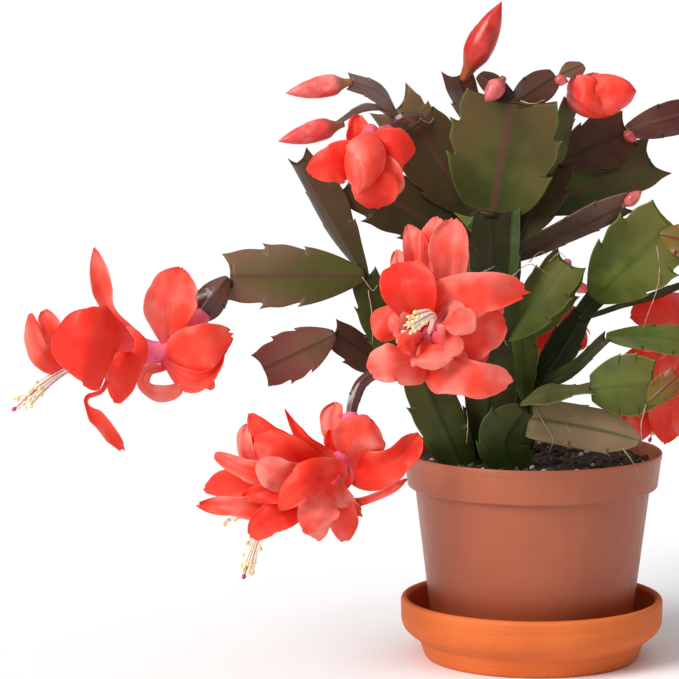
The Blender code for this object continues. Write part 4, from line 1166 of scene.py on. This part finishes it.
RIGHT_PETALS = (
    plan(((56.5, 48, 106.5), (51.5, 46, 97), (47.5, 44, 89), (45, 44, 81)),
         (2.5, 6, 7, 6, 3), tone=0.6),
    plan(((59, 48, 110.5), (62, 44, 100.5), (63, 42, 92.5), (62, 42, 83.5)),
         (2.5, 6, 7, 6, 3), tone=0.7),
    plan(((57, 46, 121.5), (51.5, 40, 124), (44.5, 36, 125.5), (39.5, 34, 124)),
         (1.5, 4, 5, 3.5, 1.5), (1.5, 3.5, 4, 3.5, 1.5), tone=0.6),
)

RED_BUD_PETALS = (
    plan(((13, -8, 226.5), (15.5, -19, 227.5), (19.5, -21.5, 225.5), (25, -18, 221)),
         (2.5, 8.5, 9, 5.5, 1), (1.5, 3.5, 3.5, 3, 1), tone=0.35, cup=-4.5, ruffle=0.2),
)


def make_flowers():
    flower("flower_left", (-131.5, -33.8, 143.7), (-164, -44, 131), LEFT_PETALS, knee=(-145, -38, 130),
           stamens=((-186, -52, 123), (-204, -54, 109)), radius=6.8).make("flower_left")
    low = flower("flower_low", (-73.8, -31.9, 103.2), (-89, -52, 81), LOW_PETALS, knee=(-74, -38, 90),
                 stamens=((-107, -60, 65), (-115, -64, 45)), radius=6.2)
    aside = [millimetres(point) for point in ((-89, -52, 81), (-106, -54, 75), (-124, -55, 61.5))]
    add_stamens(low, aside, random.Random("low_side"), count=12)
    low.make("flower_low")
    flower("flower_centre", (-32.5, -40.8, 144), (-44, -70, 140), CENTRE_PETALS,
           stamens=((-43, -86, 150), (-54, -98, 146))).make("flower_centre")
    upper = flower("flower_upper", (-55.9, -5.4, 213.1), (-66, -38, 211), UPPER_PETALS,
                   knee=(-61, -20, 214.5))
    add_bud(upper, (-66, -36, 216), (-71, -60, 193), 16, PETAL, own=0.55)
    upper.make("flower_upper")
    flower("flower_right", (68.4, 44.4, 145.8), (61, 50, 119), RIGHT_PETALS, spread=(
        (0.2, (42, 34, 134), 19, -40),
        (0.2, (90, 50, 127), 20),
        (0.3, (84, 76, 111), 20),
        (0.9, (45, 36, 115), 18, -30),
        (0.9, (36, 46, 88), 23, -40),
        (0.95, (57, 40, 81), 23),
        (0.95, (79, 62, 84), 23),
        (0.9, (72, 86, 92), 23),
    ), stamens=((57, 56, 97), (53, 60, 79))).make("flower_right")
    flower("flower_back", (16.4, 44, 156), (13, 58, 136), spread=(
        (0.3, (2, 50, 133), 18),
        (0.3, (22, 78, 140), 18),
        (0.9, (7, 52, 108), 18),
        (0.9, (24, 56, 118), 18),
        (0.9, (16, 88, 107), 20),
        (0.8, (28, 76, 124), 18),
    ), stamens=((13, 64, 113), (12, 66, 97))).make("flower_back")


def make_buds():
    bud("bud_top", (-28.6, -6.1, 234.4), (-14, -9, 265), 11.5, BUD)
    bud("bud_upper_left", (-74.2, -25.1, 234), (-99, -32, 230), 8.8, PINK, PLUMP_OUTLINE)
    bud("bud_lower_left", (-77.2, -20.3, 217.2), (-102, -28, 211), 8.8, PINK, PLUMP_OUTLINE)
    red = Piece("bud_red_right", "bud_skin")
    add_bud(red, (13.5, -6, 226.5), (39, -14, 230), 18, RIPE, FULL_OUTLINE)
    chance = random.Random("bud_red_right")
    for spine, left, right, shape in RED_BUD_PETALS:
        add_petal(red, spine, left, right, PETAL, chance, **shape)
    red.make("bud_red_right")
    bud("bud_pink_front", (-14, -19.7, 234.8), (-21, -26.2, 226.5), 7.6, ROSE)


def make_stage():
    paper = plain_look("paper", (0.94, 0.94, 0.94), (0.96, 0.96, 0.96), 4, 0.9, 0.0001)
    mesh = bpy.data.meshes.new("floor")
    corners = [(x * FLOOR_REACH, y * FLOOR_REACH, 0) for x, y in ((-1, -1), (1, -1), (1, 1), (-1, 1))]
    mesh.from_pydata(corners, [], [(0, 1, 2, 3)])
    mesh.materials.append(paper)
    floor = add_object("floor", mesh)
    floor.location.z = -FLOOR_DROP
    world = bpy.data.worlds.new("studio")
    world.use_nodes = True
    world.node_tree.nodes["Background"].inputs[0].default_value = (1, 1, 1, 1)
    world.node_tree.nodes["Background"].inputs[1].default_value = WORLD_LIGHT
    bpy.context.scene.world = world
    bpy.context.scene.view_settings.view_transform = "Standard"
    for name, direction, angle, power in (
        ("key", (-0.75, -0.6, 0.62), 35, 3.3),
        ("top", (0.1, -0.1, 1), 80, 0.7),
    ):
        lamp = bpy.data.lights.new(name, "SUN")
        lamp.angle = math.radians(angle)
        lamp.energy = power
        light = add_object(name, lamp)
        light.rotation_euler = Vector(direction).to_track_quat("Z", "Y").to_euler()


def make_camera():
    lens = bpy.data.cameras.new("camera")
    lens.lens = CAMERA_LENS
    lens.sensor_width = SENSOR_WIDTH
    camera = add_object("camera", lens)
    camera.location = CAMERA_PLACE
    camera.rotation_euler = (math.radians(90 - CAMERA_PITCH), 0, 0)
    bpy.context.scene.camera = camera


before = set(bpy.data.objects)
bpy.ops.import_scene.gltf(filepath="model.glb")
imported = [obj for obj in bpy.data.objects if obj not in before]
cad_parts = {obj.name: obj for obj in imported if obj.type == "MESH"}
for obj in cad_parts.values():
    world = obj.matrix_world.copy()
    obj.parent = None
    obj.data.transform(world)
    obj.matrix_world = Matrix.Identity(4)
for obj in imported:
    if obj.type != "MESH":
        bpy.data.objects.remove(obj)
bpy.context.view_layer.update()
make_camera()
make_stage()
make_saucer()
make_pot()
make_soil()
make_stems()
make_right_branches()
make_crown()
make_left_branches()
make_back_branches()
make_flowers()
make_buds()
for number, path in enumerate(ROOTS):
    make_root(number, path)
